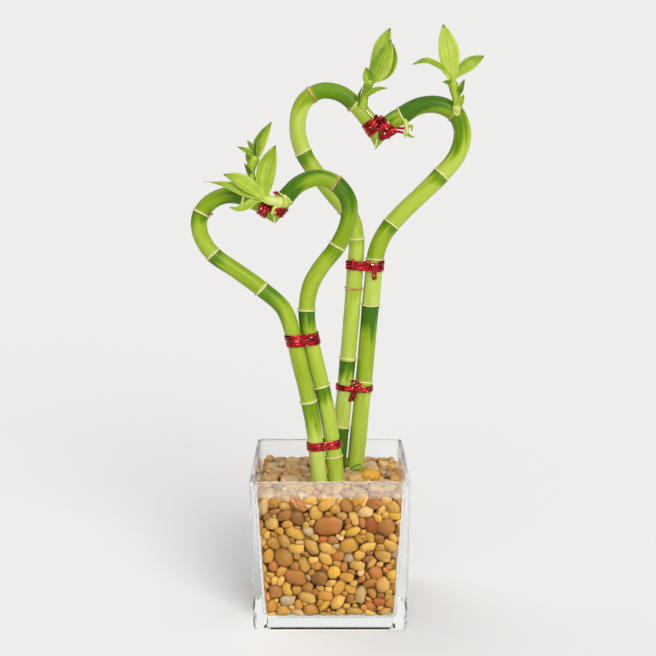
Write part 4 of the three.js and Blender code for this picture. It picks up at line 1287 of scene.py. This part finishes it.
def grow_shoot(name, parts):
    """Joins the stems and leaves of a shoot, and stands them for the solid of that name."""
    plant_shoot = joined(parts)
    plant_shoot.name = name + "_leaves"
    coat(plant_shoot, leaf_skin)
    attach(plant_shoot, "root")
    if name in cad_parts:
        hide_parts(name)


grow_shoot("shoot_front", [
    shoot_stem(
        [
            (-25.5, -27, 268), (-28.5, -31, 267.5), (-32, -33.6, 268.2), (-36.5, -34.8, 269.4),
            (-41, -35, 270.8),
        ],
        [
            (2.7, -0.6), (3.5, -0.3), (3.1, 0.35), (3.6, -0.4), (3.2, 0.5), (3.5, -0.5), (3.1, -0.15),
            (3, -0.25), (2.9, -0.3), (2.9, -0.25), (2.7, -0.1), (2.5, 0.1), (2.2, 0.2),
        ],
    ),
    shoot_stem(
        [
            (-40.5, -35, 270.5), (-44, -35, 276.5), (-46.8, -34.6, 283), (-47, -34.2, 289),
            (-44.5, -34, 295.5),
        ],
        [
            (2.4, 0.5), (2.2, 0.45), (2.6, 0.4), (2.3, 0.6), (2.1, 0.6), (2.3, 0.45), (2.1, 0.35),
            (2.3, 0.45), (2.7, 0.4), (3.1, 0.35), (3.3, 0.4), (2.4, 0.5),
        ],
    ),
    shoot_stem(
        [(-51.5, -38.8, 275.4), (-52, -37.6, 271), (-52.9, -36.2, 267)],
        [(0.8, -0.35), (0.7, -0.35), (0.8, -0.3)],
    ),
    shoot_stem(
        [(-30.5, -33.5, 266), (-33.5, -35, 264.6), (-35, -34.6, 260.8)],
        [(1.1, -0.1), (1, 0), (1, 0), (0.95, 0)],
    ),
    shoot_stem([(-27.5, -28, 270.4), (-26.4, -29.8, 271.5)], [(1.3, -0.8), (0.9, -0.8)]),
    shoot_stem([(-24.6, -27.5, 267), (-23.6, -29, 266.4)], [(1.4, -1.6), (0.8, -1.8)]),
    shoot_stem([(-31.4, -31.2, 270.2), (-32.8, -31.2, 272.6)], [(1.1, -1.4), (0.7, -1.8)]),
    leaf_blade(
        [(-38.7, -35, 270.5), (-39, -36.5, 279), (-37.2, -38, 289), (-32.4, -38.5, 302)],
        12, widest=0.5, neck=0.3, tone=0.32, lean=0.1,
    ),
    leaf_blade(
        [(-39.5, -35.5, 271), (-47.2, -38.5, 277.4), (-54.6, -41, 282.2), (-63, -43, 285.2)],
        8.8, widest=0.5, tone=0.28, lean=0.15,
    ),
    leaf_blade(
        [(-39, -35.5, 270.3), (-50.4, -38.6, 275), (-62, -41, 279), (-74.8, -43, 281.2)],
        7, widest=0.34, taper=1.9, tone=0.4, fold=0.1,
    ),
    leaf_blade(
        [
            (-37.5, -35, 269.6), (-44.8, -38.5, 268.9), (-50.6, -41.5, 265.1), (-55, -43.5, 264.2),
            (-59.5, -44.5, 265.9),
        ],
        6.2, widest=0.6, face=(0.1, -0.6, 0.8), tone=0.25,
    ),
    leaf_blade([(-46.5, -34.5, 282), (-48.8, -37.4, 287.6), (-50.9, -38.8, 291.4)], 3.2, tone=0.95),
    leaf_blade([(-46.3, -34.2, 290), (-48.7, -36.6, 294.6), (-49.4, -38, 298.6)], 3.6, tone=0.85),
    leaf_blade(
        [(-44.5, -34, 293.5), (-42.6, -34.8, 300.5), (-39, -35.4, 308), (-34.8, -34.5, 315.6)],
        7.6, tone=0.45, lean=0.5, fold=0.5,
    ),
    leaf_blade([(-45, -34.6, 293.5), (-45, -36, 299), (-43.6, -37, 304.6)], 3.2, tone=0.95, fold=0.4),
    leaf_blade([(-44.6, -34, 294), (-48.8, -36.8, 298.4), (-54.8, -39, 301.2)], 3.6, tone=0.5),
    leaf_blade([(-44.6, -34, 294), (-46.6, -32.4, 300.2), (-49.4, -30.4, 304.6)], 3.8, tone=0.55),
])
grow_shoot("shoot_back_left", [
    shoot_stem(
        [
            (19.6, 25, 321), (20.8, 22.5, 324.2), (21.7, 20.8, 329.2), (23.2, 20, 334.2),
            (25.4, 19.8, 340.4),
        ],
        [
            (3, 0.2), (3.4, -0.35), (3.3, 0.35), (3, 0.4), (2.7, 0.35), (2.6, 0.5), (2.5, 0.6),
            (2.7, 0.65), (3, 0.6), (3.2, 0.5), (3, 0.4),
        ],
    ),
    leaf_blade([(18.6, 21.4, 324.6), (18.6, 19.3, 331), (20.5, 18.4, 336.3)], 1.8, tone=1.05),
    leaf_blade(
        [(22.4, 19, 330.2), (26, 16.5, 332.8), (30.2, 14.5, 334.8), (35.8, 13, 335.4)],
        3.5, tone=0.45,
    ),
    leaf_blade(
        [(24.7, 19, 337.9), (24.2, 17.2, 342.3), (22.7, 16.1, 348.1)],
        7.6, widest=0.5, neck=0.6, tone=0.55, lean=-0.2,
    ),
    leaf_blade(
        [(26.6, 19.8, 339.2), (30.2, 17.3, 345), (33.4, 14.6, 353), (38.1, 13, 365.2)],
        13.6, widest=0.42, neck=0.3, tone=0.38, lean=0.3,
    ),
    leaf_blade(
        [(26.2, 20.8, 338.6), (30.2, 24.6, 351.6), (33.8, 27, 362.8), (38.3, 28.5, 372.9)],
        10.4, widest=0.58, neck=0.3, tone=0.34,
    ),
    leaf_blade(
        [(28.4, 20, 339.4), (35.4, 19.2, 345.2), (38.6, 20, 352.8), (39.7, 22, 362.9)],
        9, widest=0.5, neck=0.25, tone=0.38, lean=-0.2,
    ),
    # A thin strip of dry sheath lies on the cane below the collar; its pale tone is a painted highlight
    leaf_blade([(22.7, 20.8, 322), (25.4, 20.7, 319), (28.2, 20.9, 316)], 1.3, tone=-0.7),
])
grow_shoot("shoot_back_right", [
    shoot_stem(
        [(80.4, 24, 319), (80.6, 20.8, 323), (80, 19.8, 328.6), (78.6, 19.6, 334.2), (77.4, 19.8, 341.5)],
        [
            (2.8, -0.2), (3.2, -0.5), (2.7, 0.1), (3, -0.4), (2.6, 0.25), (2.3, 0.35), (2.4, 0.4),
            (2.5, 0.4), (2.6, 0.35), (2.8, 0.35), (3, 0.4), (3.3, 0.45), (2, 0.3), (1.9, 0.1),
        ],
    ),
    leaf_blade(
        [(77.2, 20, 339), (76, 19, 348), (74.4, 18.6, 358), (71, 20, 374.8)],
        13.2, widest=0.5, neck=0.25, tone=0.08, lean=0.12,
    ),
    leaf_blade(
        [
            (76.6, 19.8, 340.6), (71.1, 16.6, 346.9), (65.2, 13.6, 350.2), (59.8, 11.2, 351.6),
            (51.4, 9.2, 350),
        ],
        5.2, widest=0.62, face=(-0.3, -0.75, 0.6), tone=0.5,
    ),
    leaf_blade(
        [(78.6, 20, 341.4), (82.7, 21.5, 345.9), (89.3, 25, 350.7), (98.1, 28.4, 355.5)],
        8.8, widest=0.5, neck=0.25, tone=0.45, lean=0.15,
    ),
    leaf_blade([(81.3, 17.8, 330.6), (82.9, 17.4, 336), (84.8, 16.8, 340.8)], 3.8, tone=0.9),
    leaf_blade([(81.4, 19, 323.8), (83, 17.8, 327.8), (84.7, 17, 331.3)], 4.4, tone=0.45),
    leaf_blade([(77, 19, 337), (74, 17.4, 338.9), (71.1, 16.5, 339.1)], 3.4, tone=0.7),
])
grow_shoot("sprout_back", [
    shoot_stem(
        [(47.6, 23, 316), (48.6, 20, 312), (49, 18.8, 306.6)],
        [(1.5, 0.1), (1.8, -0.3), (1.3, 0)],
    ),
    leaf_blade([(49, 18.6, 311.4), (51.8, 17.4, 311.4), (51.9, 17, 308.4)], 2, tone=0.4),
    leaf_blade([(48.9, 18.8, 308.5), (50.4, 17.6, 305.6), (53.8, 17, 304.8)], 2, tone=0.5),
    leaf_blade([(48.6, 18.8, 308.5), (47.9, 18.2, 306), (47.9, 17.8, 304.2)], 1.8, tone=0.3),
])
# Dormant buds beside two scars, the pale cut edges where two canes meet, and at the back right
# cane's foot a pale root, a dark blade and a green scale
grow_shoot("cane_buds", [
    shoot_stem(
        [(-74.6, -26.6, 260.8), (-72.6, -28.2, 260.2), (-71, -28.4, 260.6)],
        [(0.9, -1.4), (1, -1.8), (0.5, -1.8)],
    ),
    shoot_stem(
        [(12.4, 23.6, 323.8), (11.6, 21, 322), (11.1, 19.8, 321.3)],
        [(0.6, -1.5), (0.6, -1.7), (0.3, -1.8)],
    ),
    shoot_stem(
        [(13.4, 15.6, 86), (11.8, 13.6, 87.4), (10, 11.5, 87)],
        [(0.45, -0.9), (0.4, -1), (0.3, -1.2)],
    ),
    leaf_blade(
        [(22, 18.6, 87.4), (18.4, 14.6, 87.6), (13.6, 13.6, 86.8)],
        3.8, tone=1.1, face=(0, -0.75, 0.6),
    ),
    leaf_blade(
        [(22.6, 16.6, 88.4), (18.6, 13.2, 87.6), (14, 11.2, 86.6)],
        2.6, tone=0.5, face=(0, -0.6, 0.8),
    ),
    leaf_blade([(-33.3, -29.2, 254.3), (-33.9, -29.5, 257.4), (-34.3, -29.6, 260.4)], 0.8, tone=-0.7),
    leaf_blade([(28.8, 21.1, 297.3), (29.8, 20.8, 301.6), (30.8, 20.9, 306)], 0.9, tone=-0.7),
])
bpy.data.objects.remove(master_blade)

# Floor and light
# A plain pale matt floor, a bright soft sky and two large soft lamps, the stronger one from the
# right and in front, as the window light falls in the photograph.
FLOOR_COLOUR = (0.985, 0.975, 0.965, 1)
BACKDROP_COLOUR = (0.86, 0.852, 0.844, 1)
FLOOR_DROP = 0.0002
KEY_FROM = (0.42, -0.85, 0.5)
SKY_DARK = 0.4
SKY_BRIGHT = 1.0
bpy.ops.object.select_all(action="DESELECT")
bpy.ops.mesh.primitive_plane_add(size=12, location=(0, 0, -FLOOR_DROP))
floor = bpy.context.object
floor.name = "floor"
apply_place(floor)
coat(floor, new_material("pale floor", Base_Color=FLOOR_COLOUR, Roughness=0.6, Specular_IOR_Level=0.0)[0])

world = bpy.data.worlds.new("studio")
world.use_nodes = True
bpy.context.scene.world = world
backdrop = world.node_tree.nodes["Background"]
backdrop.inputs["Color"].default_value = BACKDROP_COLOUR
sky_way = node(world, "ShaderNodeTexCoord").outputs["Generated"]
key_way = tuple(Vector(KEY_FROM).normalized())
toward_key = node(world, "ShaderNodeVectorMath", {"operation": "DOT_PRODUCT"}, _0=sky_way, _1=key_way)
sky_light = smooth_between(world, toward_key.outputs["Value"], -0.4, 1, SKY_DARK, SKY_BRIGHT)
# The sky is dimmer at both sides, which rounds the canes off
sky_x, sky_y = parts_of(world, sky_way)[:2]
sideways = maths(world, "ABSOLUTE", sky_x)
sky_light = maths(world, "MULTIPLY", sky_light, smooth_between(world, sideways, 0.3, 0.8, 1.06, 0.16))
sky = node(world, "ShaderNodeBackground", Color=(1, 1, 1, 1), Strength=sky_light)
ray = node(world, "ShaderNodeLightPath")
seen = maths(world, "MAXIMUM", ray.outputs["Is Camera Ray"], ray.outputs["Is Transmission Ray"])
# Dark cloths towards the sky's four corners draw the edges of the glass, and show only through it
cornerways = maths(world, "MINIMUM", sideways, maths(world, "ABSOLUTE", sky_y))
cloths = smooth_between(world, cornerways, 0.25, 0.4, 1, 0.12)
cloths = maths(world, "MAXIMUM", cloths, ray.outputs["Is Camera Ray"])
world.node_tree.links.new(cloths, backdrop.inputs["Strength"])
shown = node(world, "ShaderNodeMixShader", _0=seen, _1=sky.outputs[0], _2=backdrop.outputs[0])
world.node_tree.links.new(shown.outputs[0], world.node_tree.nodes["World Output"].inputs["Surface"])


def soft_sun(comes_from, strength, spread_angle):
    bpy.ops.object.light_add(type="SUN")
    lamp = bpy.context.object
    lamp.data.energy = strength
    lamp.data.angle = math.radians(spread_angle)
    lamp.rotation_euler = Vector(comes_from).to_track_quat("Z", "Y").to_euler()


soft_sun(KEY_FROM, strength=1.5, spread_angle=30)
soft_sun((-0.6, 0.3, 0.8), strength=0.4, spread_angle=40)
